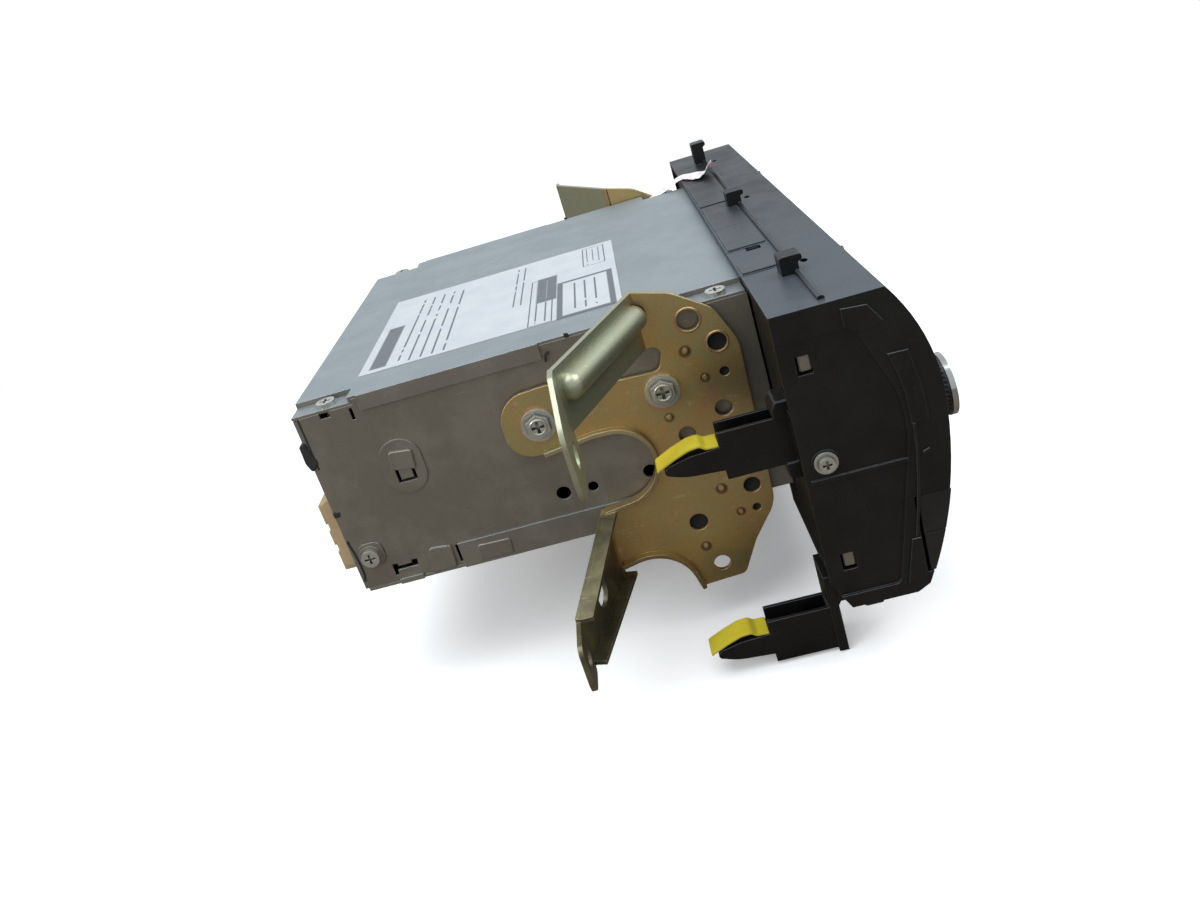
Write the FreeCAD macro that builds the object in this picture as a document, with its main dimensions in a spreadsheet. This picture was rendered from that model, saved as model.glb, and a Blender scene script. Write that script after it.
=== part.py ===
import FreeCAD, Part
import math
import os
import Sketcher

# Car CD player for a vehicle dashboard: a sheet-metal case with the disc mechanism and boards,
# a wide moulded front bezel that snaps into the dashboard, and two bent steel side brackets.
# X runs to the right as the driver sees the face, Y to the rear, Z up.
# The drawing frame has its zero at the front lower edge of the case, in the middle.
# The finished parts are moved so that the origin is the centre of the upper ear holes.

V = FreeCAD.Vector
doc = FreeCAD.newDocument("car_cd_player")
sheet = doc.addObject("Spreadsheet::Sheet", "dims")

sizes = {
    # case
    "chassisWidth": 178,
    "chassisDepth": 158.5,
    "frameTop": 74,
    "frameSheet": 1,
    "coverSheet": 1,
    "coverOverhang": 1.5,
    "coverEdgeInset": 0.1,
    "flangeSheet": 0.8,
    "topFlangeLow": 69.3,
    "topFlangeFront": 70.6,
    "topFlangeRear": 135.5,
    "bottomFlangeTop": 10.2,
    "bottomFlangeRear": 121,
    "footTabTop": 2,
    "footTabFront": 137,
    "footTabRear": 146,
    "recessWidth": 8.6,
    "recessLength": 21.2,
    "recessDrop": 2,
    "coverScrewIn": 4.2,
    "coverScrewFront": 9.5,
    "coverScrewRear": 147.8,
    "rearWindowIn": 3,
    "rearWindowLow": 6,
    "rearWindowTop": 68,
    "discWindowHalf": 65.5,
    "discWindowLow": 54.5,
    "discWindowTop": 66.2,
    "plugWindowHalf": 45,
    "plugWindowLow": 14,
    "plugWindowTop": 36,
    "ovalY": 128.9,
    "ovalZ": 45.1,
    "ovalWidth": 15,
    "ovalHeight": 21,
    "emboss": 0.5,
    "lanceWidth": 7,
    "lanceHeight": 12,
    "lanceSlit": 1.2,
    "sideScrewY": 153,
    "sideScrewZ": 13.8,
    "sideBossRadius": 4.5,
    "ventCount": 7,
    "ventPitch": 9,
    "ventWidth": 3,
    "ventFront": 52,
    "ventRear": 84,
    # screws
    "screwShank": 1.3,
    "screwHead": 3.4,
    "screwHeadTall": 1.6,
    "screwLength": 4,
    "screwGap": 0.1,
    "crossSlot": 0.8,
    "crossDepth": 0.9,
    "rearScrewX": 52,
    "rearScrewLow": 3.6,
    "rearScrewTop": 70.4,
    # rear panel and what stands in it
    "panelSheet": 1.5,
    "panelEdge": 0.6,
    "plugX": -76,
    "plugWidth": 14,
    "plugLow": 8,
    "plugTall": 28,
    "plugReach": 8,
    "plugBack": 148,
    "plugWall": 1.8,
    "plugDepth": 13.5,
    "pinSide": 1,
    "pinRows": 9,
    "pinPitch": 2.5,
    "pinColumns": 4.4,
    "pinLength": 8,
    "panelGap": 0.4,
    "sinkLeft": -55,
    "sinkRight": 25,
    "sinkTop": 66,
    "sinkFront": 150.6,
    "sinkGrooves": 9,
    "sinkGroove": 4,
    "sinkGrooveDepth": 6.5,
    "antennaX": 67,
    "antennaZ": 21,
    "antennaRadius": 5.8,
    "antennaBore": 4.2,
    "antennaReach": 8,
    "antennaDepth": 8,
    # board
    "boardLow": 6.4,
    "boardSheet": 1.6,
    "boardHalf": 84,
    "boardFront": 6,
    "standoffRadius": 3.5,
    "standoffX": 76,
    "standoffFront": 14,
    "standoffRear": 148,
    "tunerWidth": 34,
    "tunerFront": 112,
    "tunerTall": 22,
    "ampLeft": -30,
    "ampWidth": 24,
    "ampTall": 19,
    "ampDepth": 4.6,
    # deck plate and its fittings
    "deckLow": 44,
    "deckSheet": 1.2,
    "deckHalf": 70,
    "deckFront": 6,
    "deckRear": 150,
    "deckWall": 1,
    "deckWallTop": 58,
    "deckFrontWallTop": 64,
    "deckFrontWallRear": 44,
    "deckEar": 12,
    "deckEarLong": 8,
    "earFrontY": 30,
    "earRearY": 130,
    "damperX": 77,
    "damperRadius": 4.2,
    "shelfTop": 39,
    "shelfReach": 14,
    "shelfSheet": 1,
    "shelfLong": 12,
    "discCentreY": 78,
    "discLow": 60,
    "spindleHole": 4,
    "spindleRadius": 1,
    "spindleMotorRadius": 12,
    "spindleMotorTall": 8,
    "platterRadius": 15,
    "platterTall": 2.4,
    "hubRadius": 7.4,
    "hubTall": 2.2,
    "runningGap": 0.06,
    "clampY": 146,
    "clampZ": 68.5,
    "clampArmSheet": 1,
    "clampPinRadius": 1,
    "clampLugX": 32,
    "clampLugSheet": 2,
    "clampLugFront": 142,
    "clampLugTop": 71,
    "clampArmHalf": 31.5,
    "clampNose": 12,
    "clampTail": 1.5,
    "bridgeThick": 1.5,
    "puckRadius": 14,
    "puckLift": 4.6,
    "puckTall": 2.8,
    "puckRecess": 8.4,
    "puckRecessDeep": 2.2,
    "puckStem": 3,
    "puckStemGap": 0.5,
    "puckCap": 4.6,
    "puckCapTall": 1,
    "leafHalf": 4,
    "leafSheet": 0.5,
    "leafFront": 108,
    "leafGap": 0.3,
    "guideLow": 62,
    "guideSheet": 1,
    "guideRear": 42,
    "guideRib": 1.2,
    # optical pickup and its drive
    "sledHalf": 13,
    "sledLong": 20,
    "sledLow": 46.4,
    "sledTop": 57,
    "lensY": 101,
    "lensRadius": 3.4,
    "lensTall": 3.2,
    "lensSink": 2,
    "lensWell": 5,
    "railX": 17,
    "railZ": 50,
    "railRadius": 1.5,
    "railFront": 84,
    "railRear": 148,
    "railBlock": 2,
    "sledArm": 2.5,
    "leadX": 26,
    "leadRadius": 1.8,
    "leadCore": 1.3,
    "leadPitch": 3,
    "leadTurns": 18,
    "leadEnd": 139,
    "fingerGap": 0.6,
    "fingerLong": 4,
    "fingerTall": 3,
    "sledMotorRadius": 4.7,
    "sledMotorFront": 62,
    "sledMotorRear": 81.7,
    # disc loading
    "rollerY": 14,
    "rollerZ": 54.7,
    "rollerEnd": 5,
    "rollerWaist": 3.4,
    "rollerHalf": 60,
    "rollerShaft": 1.5,
    "gearModule": 0.8,
    "gearTeeth": 24,
    "pinionTeeth": 12,
    "gearWidth": 3.4,
    "gearGap": 1,
    "toothPlay": 0.16,
    "loadMotorRadius": 6.1,
    "loadMotorLong": 24,
    "loadMotorDrop": 2.6,
    "loadShaft": 1,
    # front bezel: the face is two arcs that meet at its crest
    "bezelHalf": 136,
    "bezelTop": 78.8,
    "bezelBottom": -21.7,
    "bezelRear": 1,
    "bezelWall": 2.2,
    "crestY": -42.7,
    "crestZ": 43,
    "upperArc": 64,
    "lowerArc": 145,
    "faceEndLow": -19.5,
    "rearCornerZ": -12,
    "rearCornerY": -4,
    "faceHalf": 124,
    "faceLow": 13,
    "faceTop": 66.5,
    "faceGap": 0.3,
    "faceProud": 0.8,
    "faceWall": 2.6,
    "backPlateIn": 68,
    "backPlateGap": 0.6,
    "backPlateWall": 2,
    "postX": 74,
    "postLow": 8,
    "postTop": 70,
    "postRadius": 3.5,
    "postPilot": 1.35,
    "hookLeft": -101.6,
    "hookMiddle": 2.6,
    "hookRight": 109,
    "hookHalf": 3.6,
    "hookFront": -15.4,
    "hookRear": -9.8,
    "hookTop": 85,
    "tallHookTop": 89.4,
    "hookLip": 1.4,
    "railBeadY": -14.9,
    "beadRadius": 1.1,
    "beadStart": -132.7,
    "beadEnd": 106,
    "grooveFront": -10,
    "grooveWidth": 0.7,
    "grooveDeep": 0.6,
    "sidePanelDeep": 0.8,
    "sideRibZ": 25,
    "sideRibTall": 1.2,
    "sideWindowY": -6,
    "sideWindowUpper": 62,
    "sideWindowLower": -5.2,
    "sideWindowWide": 4.4,
    "sideWindowTall": 6,
    "sideFixY": -5.9,
    "sideFixZ": 30,
    "sideWasher": 3.6,
    # dashboard clips behind the bezel
    "towerIn": 116,
    "towerOut": 125,
    "towerWall": 1.2,
    "towerUpper": 27.1,
    "towerLower": -44,
    "towerTall": 16.1,
    "towerReach": 22.5,
    "tongueReach": 41.8,
    "tongueLow": 4,
    "tongueTop": 11.4,
    "towerFoot": 2.5,
    "footInner": 112,
    "clipSheet": 0.6,
    "clipRise": 1.6,
    # side brackets
    "bracketSheet": 1.5,
    "bracketSeat": 0.9,
    "boltUpperY": 78.6,
    "boltFrontY": 35,
    "boltZ": 47.6,
    "boltSeatRadius": 6.6,
    "boltShank": 2.4,
    "boltHoleGap": 0.3,
    "boltFlange": 6,
    "boltFlangeTall": 1.2,
    "boltHex": 7.8,
    "boltHexTall": 2.8,
    "boltLength": 6,
    "lipReach": 2.6,
    "lipWide": 1.5,
    "earFoldY": 36.5,
    "earLow": 63.5,
    "earTop": 83.5,
    "earOut": 141.5,
    "earPlaneY": 62,
    "earTabOut": 162,
    "earHoleX": 149,
    "earHoleZ": 60,
    "earHoleRadius": 4,
    "earTabRadius": 12,
    "ribRadius": 4.3,
    "ribZ": 75.6,
    "lowFoldY": 66,
    "lowEarOut": 137,
    "lowPlaneY": 79,
    "lowEarTabOut": 150,
    "lowEarFoldTop": 9.5,
    "lowEarEndTop": -1,
    "lowEarBottom": -19,
    "lowLip": 4.2,
    "lowHoleX": 142,
    "lowHoleZ": -12,
    "lowHoleRadius": 3.3,
    # face parts
    "slotHalf": 62,
    "slotLow": 58,
    "slotTop": 63,
    "chuteWall": 1.4,
    "chuteRear": -1,
    "lensHalf": 60,
    "lensLow": 32,
    "lensTop": 53,
    "lensWall": 1.6,
    "lensGap": 0.2,
    "lensProud": 0.3,
    "frontBoardY": -16,
    "frontBoardSheet": 1.6,
    "frontBoardHalf": 131,
    "frontBoardLow": -15,
    "frontBoardTop": 67,
    "notchLow": 56,
    "notchHalf": 66,
    "spacerRadius": 3,
    "displayHalf": 56,
    "displayLow": 33,
    "displayTop": 52,
    "displayDeep": 19,
    "presetCount": 6,
    "presetPitch": 19,
    "presetWidth": 17,
    "presetLow": 16.4,
    "presetTop": 26,
    "buttonGap": 0.3,
    "buttonProud": 1.2,
    "buttonTravel": 0.8,
    "buttonStem": 2,
    "buttonFlange": 0.7,
    "buttonFlangeY": -37.4,
    "buttonFlangeThick": 1.2,
    "switchTall": 4,
    "switchHalf": 3,
    "switchGap": 0.2,
    "ejectLeft": 74,
    "ejectWidth": 16,
    "ejectLow": 57,
    "ejectTop": 64.4,
    "sideKeyIn": 100,
    "sideKeyOut": 135.8,
    "sideKeyTop": 11.2,
    "sideKeySplit": -1.8,
    "sideKeyLow": -15.1,
    "sideKeyBack": -28.5,
    "sideKeyCatch": 2.5,
    "sideKeyCatchThick": 1.2,
    "knobX": 108,
    "knobZ": 31.3,
    "knobRadius": 9.9,
    "knobFront": -51.5,
    "knobBack": -43.8,
    "knobRing": 1.8,
    "knobFlutes": 40,
    "fluteRadius": 0.45,
    "knobDish": 2.2,
    "knobDishRadius": 7,
    "encoderShaft": 3,
    "encoderShaftFront": -48.4,
    "encoderSide": 6.5,
    "encoderTall": 6.5,
    "bushRadius": 4.4,
    "bushFront": -30,
    "shaftHole": 5.2,
    # papers on the top
    "labelLeft": -70.5,
    "labelRight": 19.5,
    "labelFront": 40,
    "labelRear": 138.3,
    "labelThick": 0.2,
    "tapeLeft": 62,
    "tapeRight": 88.4,
    "tapeWidth": 7.8,
    "tapeRear": 18.5,
    "tapeThick": 0.2,
}

for row, (name, amount) in enumerate(sizes.items(), start=1):
    sheet.set(f"A{row}", name)
    sheet.set(f"B{row}", str(amount))
    sheet.setAlias(f"B{row}", name)
doc.recompute()


class Size:
    """A length that keeps both its number and the expression that gives it."""

    def __init__(self, number, text):
        self.number = number
        self.text = text

    def __float__(self):
        return float(self.number)

    def __add__(self, other):
        return Size(self.number + float(other), f"({self.text} + {wording(other)})")

    def __radd__(self, other):
        return Size(float(other) + self.number, f"({wording(other)} + {self.text})")

    def __sub__(self, other):
        return Size(self.number - float(other), f"({self.text} - {wording(other)})")

    def __rsub__(self, other):
        return Size(float(other) - self.number, f"({wording(other)} - {self.text})")

    def __mul__(self, other):
        return Size(self.number * float(other), f"({self.text} * {wording(other)})")

    def __rmul__(self, other):
        return Size(float(other) * self.number, f"({wording(other)} * {self.text})")

    def __truediv__(self, other):
        return Size(self.number / float(other), f"({self.text} / {wording(other)})")

    def __neg__(self):
        return Size(-self.number, f"(0 - {self.text})")


def wording(amount):
    return amount.text if isinstance(amount, Size) else repr(float(amount))


class Dimensions:
    """The cells of the sheet by name."""


dim = Dimensions()
for name in sizes:
    setattr(dim, name, Size(float(sheet.get(name)), f"dims.{name}"))


def bind(target, place, amount):
    target.setExpression(place, wording(amount))


# Sketches and bodies

def rectangle(left, right, low, high):
    """A rectangle whose two corners are tied to the sheet."""
    def draw(sketch):
        first = sketch.GeometryCount
        corners = [V(left, low, 0), V(right, low, 0), V(right, high, 0), V(left, high, 0)]
        for index in range(4):
            sketch.addGeometry(Part.LineSegment(corners[index], corners[(index + 1) % 4]), False)
        for index in range(4):
            sketch.addConstraint(Sketcher.Constraint("Coincident", first + index, 2, first + (index + 1) % 4, 1))
        for index in (0, 2):
            sketch.addConstraint(Sketcher.Constraint("Horizontal", first + index))
            sketch.addConstraint(Sketcher.Constraint("Vertical", first + index + 1))
        ties = (("DistanceX", first, left), ("DistanceY", first, low),
                ("DistanceX", first + 2, right), ("DistanceY", first + 2, high))
        for kind, edge, amount in ties:
            tie = sketch.addConstraint(Sketcher.Constraint(kind, -1, 1, edge, 1, float(amount)))
            bind(sketch, f"Constraints[{tie}]", amount)
    return draw


def circle(across, up, radius):
    """A circle whose centre and radius are tied to the sheet."""
    def draw(sketch):
        edge = sketch.GeometryCount
        sketch.addGeometry(Part.Circle(V(across, up, 0), V(0, 0, 1), float(radius)), False)
        for kind, amount in (("DistanceX", across), ("DistanceY", up)):
            tie = sketch.addConstraint(Sketcher.Constraint(kind, -1, 1, edge, 3, float(amount)))
            bind(sketch, f"Constraints[{tie}]", amount)
        tie = sketch.addConstraint(Sketcher.Constraint("Radius", edge, float(radius)))
        bind(sketch, f"Constraints[{tie}]", radius)
    return draw


def roundedEdges(corners):
    """Edges of a closed outline from (across, up, corner radius) points."""
    count = len(corners)
    starts = []
    ends = []
    middles = []
    for index in range(count):
        here = V(float(corners[index][0]), float(corners[index][1]), 0)
        radius = float(corners[index][2]) if len(corners[index]) > 2 else 0
        if radius == 0:
            starts.append(here)
            ends.append(here)
            middles.append(None)
            continue
        before = V(float(corners[index - 1][0]), float(corners[index - 1][1]), 0) - here
        after = corners[(index + 1) % count]
        after = V(float(after[0]), float(after[1]), 0) - here
        before.normalize()
        after.normalize()
        half = before.getAngle(after) / 2
        reach = radius / math.tan(half)
        bisector = before + after
        bisector.normalize()
        starts.append(here + before * reach)
        ends.append(here + after * reach)
        middles.append(here + bisector * (radius / math.sin(half) - radius))
    edges = []
    for index in range(count):
        if middles[index] is not None:
            edges.append(Part.Arc(starts[index], middles[index], ends[index]))
        following = starts[(index + 1) % count]
        if (following - ends[index]).Length > 1e-6:
            edges.append(Part.LineSegment(ends[index], following))
    return edges


def outline(corners):
    """A closed outline of straight runs and rounded corners."""
    def draw(sketch):
        for edge in roundedEdges(corners):
            sketch.addGeometry(edge, False)
    return draw


def edgesOf(edges):
    """A closed outline of ready-made edges."""
    def draw(sketch):
        for edge in edges:
            sketch.addGeometry(edge, False)
    return draw


def sketchOn(body, plane, level, shapes):
    sketch = body.newObject("Sketcher::SketchObject", "Sketch")
    origin = [feature for feature in body.Origin.OriginFeatures if feature.Role == plane + "_Plane"][0]
    sketch.AttachmentSupport = [(origin, "")]
    sketch.MapMode = "FlatFace"
    bind(sketch, "AttachmentOffset.Base.z", -level if plane == "XZ" else level)
    for draw in shapes:
        draw(sketch)
    return sketch


def number(amount):
    return amount if isinstance(amount, Size) else Size(float(amount), repr(float(amount)))


def add(body, plane, low, high, *shapes):
    """Pads the shapes between two levels along the plane's normal axis."""
    low = number(low)
    high = number(high)
    pad = body.newObject("PartDesign::Pad", "Pad")
    pad.Profile = sketchOn(body, plane, high if plane == "XZ" else low, shapes)
    bind(pad, "Length", high - low)
    return pad


def remove(body, plane, low, high, *shapes):
    """Cuts the shapes away between two levels along the plane's normal axis."""
    low = number(low)
    high = number(high)
    pocket = body.newObject("PartDesign::Pocket", "Pocket")
    pocket.Profile = sketchOn(body, plane, low if plane == "XZ" else high, shapes)
    bind(pocket, "Length", high - low)
    return pocket


def newBody(name):
    return doc.addObject("PartDesign::Body", name)


# Primitives, groups and booleans

turns = {"X": FreeCAD.Rotation(V(0, 1, 0), 90), "Y": FreeCAD.Rotation(V(1, 0, 0), -90), "Z": FreeCAD.Rotation()}


def block(name, across, along, up):
    """A box from (low, high) pairs on X, Y and Z."""
    solid = doc.addObject("Part::Box", name)
    for side, letter, (low, high) in zip(("Length", "Width", "Height"), "xyz", (across, along, up)):
        bind(solid, side, number(high) - number(low))
        bind(solid, "Placement.Base." + letter, low)
    return solid


def rod(name, axis, centre, low, high, radius):
    """A cylinder along an axis, from its centre on the two other axes."""
    solid = doc.addObject("Part::Cylinder", name)
    solid.Placement = FreeCAD.Placement(V(), turns[axis])
    bind(solid, "Radius", radius)
    bind(solid, "Height", number(high) - number(low))
    places = dict(zip([letter for letter in "XYZ" if letter != axis], centre))
    places[axis] = low
    for letter, amount in places.items():
        bind(solid, "Placement.Base." + letter.lower(), amount)
    return solid


def fuse(name, pieces):
    whole = doc.addObject("Part::MultiFuse", name)
    whole.Shapes = pieces
    whole.Refine = True
    return whole


def cut(name, base, tools):
    """The base without its tools, which may be one or several."""
    rest = doc.addObject("Part::Cut", name)
    rest.Base = base
    rest.Tool = tools[0] if len(tools) == 1 else fuse(name + "Tools", tools)
    rest.Refine = True
    return rest


def group(name, pieces):
    """Separate solids that share one node."""
    several = doc.addObject("Part::Compound", name)
    several.Links = pieces
    return several


def mirrored(name, source):
    """The same piece on the other side of the middle plane."""
    other = doc.addObject("Part::Mirroring", name)
    other.Source = source
    other.Base = V(0, 0, 0)
    other.Normal = V(1, 0, 0)
    return other


nodes = []
originY = dim.earPlaneY + dim.bracketSheet


def node(piece, label, moved=False):
    """Keeps a finished piece as a node and places it against the origin of the whole part."""
    if piece.TypeId in ("Part::Box", "Part::Cylinder"):
        piece = group(piece.Name + "Node", [piece])
    piece.Label = label
    if not moved:
        bind(piece, "Placement.Base.y", -originY)
        bind(piece, "Placement.Base.z", -dim.earHoleZ)
    nodes.append(piece)
    return piece


half = dim.chassisWidth / 2
innerHalf = half - dim.frameSheet
coverTop = dim.frameTop + dim.coverSheet
coverRear = dim.chassisDepth + dim.coverOverhang
recessFloor = dim.frameTop - dim.recessDrop
recessIn = half - dim.recessWidth
coverScrewX = half - dim.coverScrewIn
boardTop = dim.boardLow + dim.boardSheet
bracketInner = half + dim.bracketSeat
bracketOuter = bracketInner + dim.bracketSheet


def bothSides(low, high):
    """The same X range on the right and on the left."""
    return ((low, high), (-high, -low))


def outward(side, near, far):
    """The X range between two distances from the middle, on one side."""
    return (near, far) if side > 0 else (-number(far), -number(near))


# Case

def makeChassisFrame():
    frame = newBody("ChassisFrame")
    wall = dim.frameSheet
    add(frame, "XY", dim.coverSheet, dim.frameTop,
        rectangle(-half, half, 0, dim.chassisDepth),
        rectangle(-innerHalf, innerHalf, wall, dim.chassisDepth - wall))
    windowHalf = half - dim.rearWindowIn
    remove(frame, "XZ", dim.chassisDepth - 2 * wall, dim.chassisDepth + wall,
           rectangle(-windowHalf, windowHalf, dim.rearWindowLow, dim.rearWindowTop),
           *[circle(side * dim.rearScrewX, up, dim.screwShank + dim.screwGap)
             for side in (-1, 1) for up in (dim.rearScrewLow, dim.rearScrewTop)])
    remove(frame, "XZ", -wall, 2 * wall,
           rectangle(-dim.discWindowHalf, dim.discWindowHalf, dim.discWindowLow, dim.discWindowTop),
           rectangle(-dim.plugWindowHalf, dim.plugWindowHalf, dim.plugWindowLow, dim.plugWindowTop),
           *[circle(side * dim.postX, up, dim.screwShank + dim.screwGap)
             for side in (-1, 1) for up in (dim.postLow, dim.postTop)])
    recessEnd = dim.recessLength + wall + dim.coverEdgeInset
    rearStart = coverRear - dim.recessLength - wall - 2 * dim.coverEdgeInset
    corners = [(low, high, front, back)
               for low, high in bothSides(recessIn - wall - dim.coverEdgeInset, half + wall)
               for front, back in ((-wall, recessEnd), (rearStart, coverRear))]
    remove(frame, "XY", recessFloor, dim.frameTop + wall, *[rectangle(*corner) for corner in corners])
    for low, high in bothSides(recessIn, innerHalf):
        for front, back in ((wall, dim.recessLength), (rearStart + wall, dim.chassisDepth - wall)):
            add(frame, "XY", recessFloor - wall, recessFloor, rectangle(low, high, front, back))
    remove(frame, "XY", recessFloor - 2 * wall, recessFloor,
           *[circle(side * coverScrewX, along, dim.screwShank + dim.screwGap)
             for side in (-1, 1) for along in (dim.coverScrewFront, dim.coverScrewRear)])
    for low, high in bothSides(half - dim.shelfReach, innerHalf):
        for along in (dim.earFrontY, dim.earRearY):
            add(frame, "XY", dim.shelfTop - dim.shelfSheet, dim.shelfTop,
                rectangle(low, high, along - dim.shelfLong / 2, along + dim.shelfLong / 2))
    oval = [(dim.ovalY + across * dim.ovalWidth / 2, dim.ovalZ + up * dim.ovalHeight / 2, float(dim.ovalWidth) * 0.499)
            for across, up in ((-1, -1), (1, -1), (1, 1), (-1, 1))]
    for low, high in bothSides(half, half + dim.emboss):
        add(frame, "YZ", low, high, outline(oval), circle(dim.sideScrewY, dim.sideScrewZ, dim.sideBossRadius))
    for low, high in bothSides(half, bracketInner):
        add(frame, "YZ", low, high, circle(dim.boltUpperY, dim.boltZ, dim.boltSeatRadius),
            circle(dim.boltFrontY, dim.boltZ, dim.boltSeatRadius))
    left = dim.ovalY - dim.lanceWidth / 2
    right = dim.ovalY + dim.lanceWidth / 2
    low = dim.ovalZ - dim.lanceHeight / 2
    top = dim.ovalZ + dim.lanceHeight / 2
    slit = dim.lanceSlit
    lance = [(left, top), (left, low), (right, low), (right, top),
             (right - slit, top), (right - slit, low + slit), (left + slit, low + slit), (left + slit, top)]
    hookedSlot = [(137.4, 5.6), (137.4, 8.4), (139.6, 8.4), (139.6, 7.2), (144.8, 7.2), (144.8, 8.4),
                  (147, 8.4), (147, 3.6), (145.6, 3.6), (145.6, 5.6)]
    smallHoles = ((78.3, 18.6, 2.6), (67.6, 18.2, 1.9), (46.8, 18.3, 2.5))
    for low, high in bothSides(innerHalf - wall, half + 2 * wall):
        remove(frame, "YZ", low, high, outline(lance), outline(hookedSlot), rectangle(120.6, 122.2, 2.4, 9.6),
               rectangle(138.4, 139.6, 66.5, 71), rectangle(146.4, 150.2, 69.8, 72),
               circle(dim.sideScrewY, dim.sideScrewZ, dim.screwShank + dim.screwGap),
               *[circle(along, dim.boltZ, dim.boltShank) for along in (dim.boltUpperY, dim.boltFrontY)],
               *[circle(*hole) for hole in smallHoles])
    node(frame, "chassis_frame")


def makeTopCover():
    cover = newBody("TopCover")
    edge = half - dim.coverEdgeInset
    front = dim.coverEdgeInset * 4
    recessRear = coverRear - dim.recessLength
    wall = dim.coverSheet
    add(cover, "XY", dim.frameTop, coverTop, rectangle(-edge, edge, front, coverRear))
    remove(cover, "XY", dim.frameTop - wall, coverTop + wall,
           *[rectangle(low, high, start, end) for low, high in bothSides(recessIn, half + wall)
             for start, end in ((-wall, dim.recessLength), (recessRear, coverRear + wall))])
    for low, high in bothSides(recessIn - wall, edge):
        for start, end in ((front, dim.recessLength + wall), (recessRear - wall, coverRear)):
            add(cover, "XY", recessFloor, recessFloor + wall, rectangle(low, high, start, end))
    for low, high in bothSides(recessIn - wall, recessIn):
        for start, end in ((front, dim.recessLength + wall), (recessRear - wall, coverRear)):
            add(cover, "XY", recessFloor, coverTop, rectangle(low, high, start, end))
    for low, high in bothSides(recessIn - wall, edge):
        for start in (dim.recessLength, recessRear - wall):
            add(cover, "XY", recessFloor, coverTop, rectangle(low, high, start, start + wall))
    for low, high in bothSides(edge - wall, half + dim.flangeSheet):
        add(cover, "XY", dim.frameTop, coverTop, rectangle(low, high, dim.topFlangeFront, dim.topFlangeRear))
    for low, high in bothSides(half, half + dim.flangeSheet):
        add(cover, "XY", dim.topFlangeLow, coverTop, rectangle(low, high, dim.topFlangeFront, dim.topFlangeRear))
    remove(cover, "XY", recessFloor - wall, coverTop,
           *[circle(side * coverScrewX, along, dim.screwShank + dim.screwGap)
             for side in (-1, 1) for along in (dim.coverScrewFront, dim.coverScrewRear)])
    node(cover, "top_cover")


def makeBottomCover():
    cover = newBody("BottomCover")
    outer = half + dim.flangeSheet
    add(cover, "XY", 0, dim.coverSheet, rectangle(-half, half, 0, dim.chassisDepth))
    runs = ((0, dim.bottomFlangeRear, dim.bottomFlangeTop), (dim.footTabFront, dim.footTabRear, dim.footTabTop))
    for front, back, top in runs:
        for low, high in bothSides(innerHalf, outer):
            add(cover, "XY", 0, dim.coverSheet, rectangle(low, high, front, back))
        for low, high in bothSides(half, outer):
            add(cover, "XY", 0, top, rectangle(low, high, front, back))
    for side in (-1, 1):
        for along in (dim.standoffFront, dim.standoffRear):
            add(cover, "XY", dim.coverSheet, dim.boardLow, circle(side * dim.standoffX, along, dim.standoffRadius))
    first = -dim.ventPitch * (dim.ventCount - 1) / 2
    for index in range(int(float(dim.ventCount))):
        left = first + index * dim.ventPitch - dim.ventWidth / 2
        remove(cover, "XY", -dim.coverSheet, dim.coverSheet * 2,
               rectangle(left, left + dim.ventWidth, dim.ventFront, dim.ventRear))
    node(cover, "bottom_cover")


def makeRearPanel():
    panel = newBody("RearPanel")
    edge = half - dim.panelEdge
    inner = recessIn - dim.coverSheet - dim.panelEdge
    rear = dim.chassisDepth + dim.panelSheet
    add(panel, "XZ", dim.chassisDepth, rear,
        rectangle(-edge, edge, dim.coverSheet, recessFloor - dim.panelGap))
    add(panel, "XZ", dim.chassisDepth, rear,
        rectangle(-inner, inner, dim.coverSheet, dim.frameTop))
    gap = dim.panelGap
    plugHalf = dim.plugWidth / 2 + gap
    screw = dim.screwShank + dim.screwGap
    remove(panel, "XZ", dim.chassisDepth - 1, rear + 1,
           rectangle(dim.plugX - plugHalf, dim.plugX + plugHalf, dim.plugLow - gap, dim.plugLow + dim.plugTall + gap),
           rectangle(dim.sinkLeft - gap, dim.sinkRight + gap, boardTop - gap, dim.sinkTop + gap),
           circle(dim.antennaX, dim.antennaZ, dim.antennaRadius + gap),
           *[circle(side * dim.rearScrewX, up, screw) for side in (-1, 1)
             for up in (dim.rearScrewLow, dim.rearScrewTop)])
    node(panel, "rear_panel")


def screwAt(name, axis, centre, seat, outward, radius, tall, shank, length):
    """A cross-recess pan screw: its seat is the face it clamps, outward is +1 or -1 along the axis."""
    seat = number(seat)
    ends = (seat, seat + tall) if outward > 0 else (seat - tall, seat)
    shankEnds = (seat - length, seat) if outward > 0 else (seat, seat + length)
    head = rod(name + "Head", axis, centre, ends[0], ends[1], radius)
    body = rod(name + "Shank", axis, centre, shankEnds[0], shankEnds[1], shank)
    slotEnds = (ends[1] - dim.crossDepth, ends[1] + 1) if outward > 0 else (ends[0] - 1, ends[0] + dim.crossDepth)
    letters = [letter for letter in "XYZ" if letter != axis]
    slots = []
    for longOne in letters:
        spans = {axis: slotEnds}
        for letter, middle in zip(letters, centre):
            reach = radius * 0.6 if letter == longOne else dim.crossSlot / 2
            spans[letter] = (middle - reach, middle + reach)
        slots.append(block(name + "Slot" + longOne, spans["X"], spans["Y"], spans["Z"]))
    return cut(name, fuse(name + "Whole", [head, body]), slots)


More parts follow.
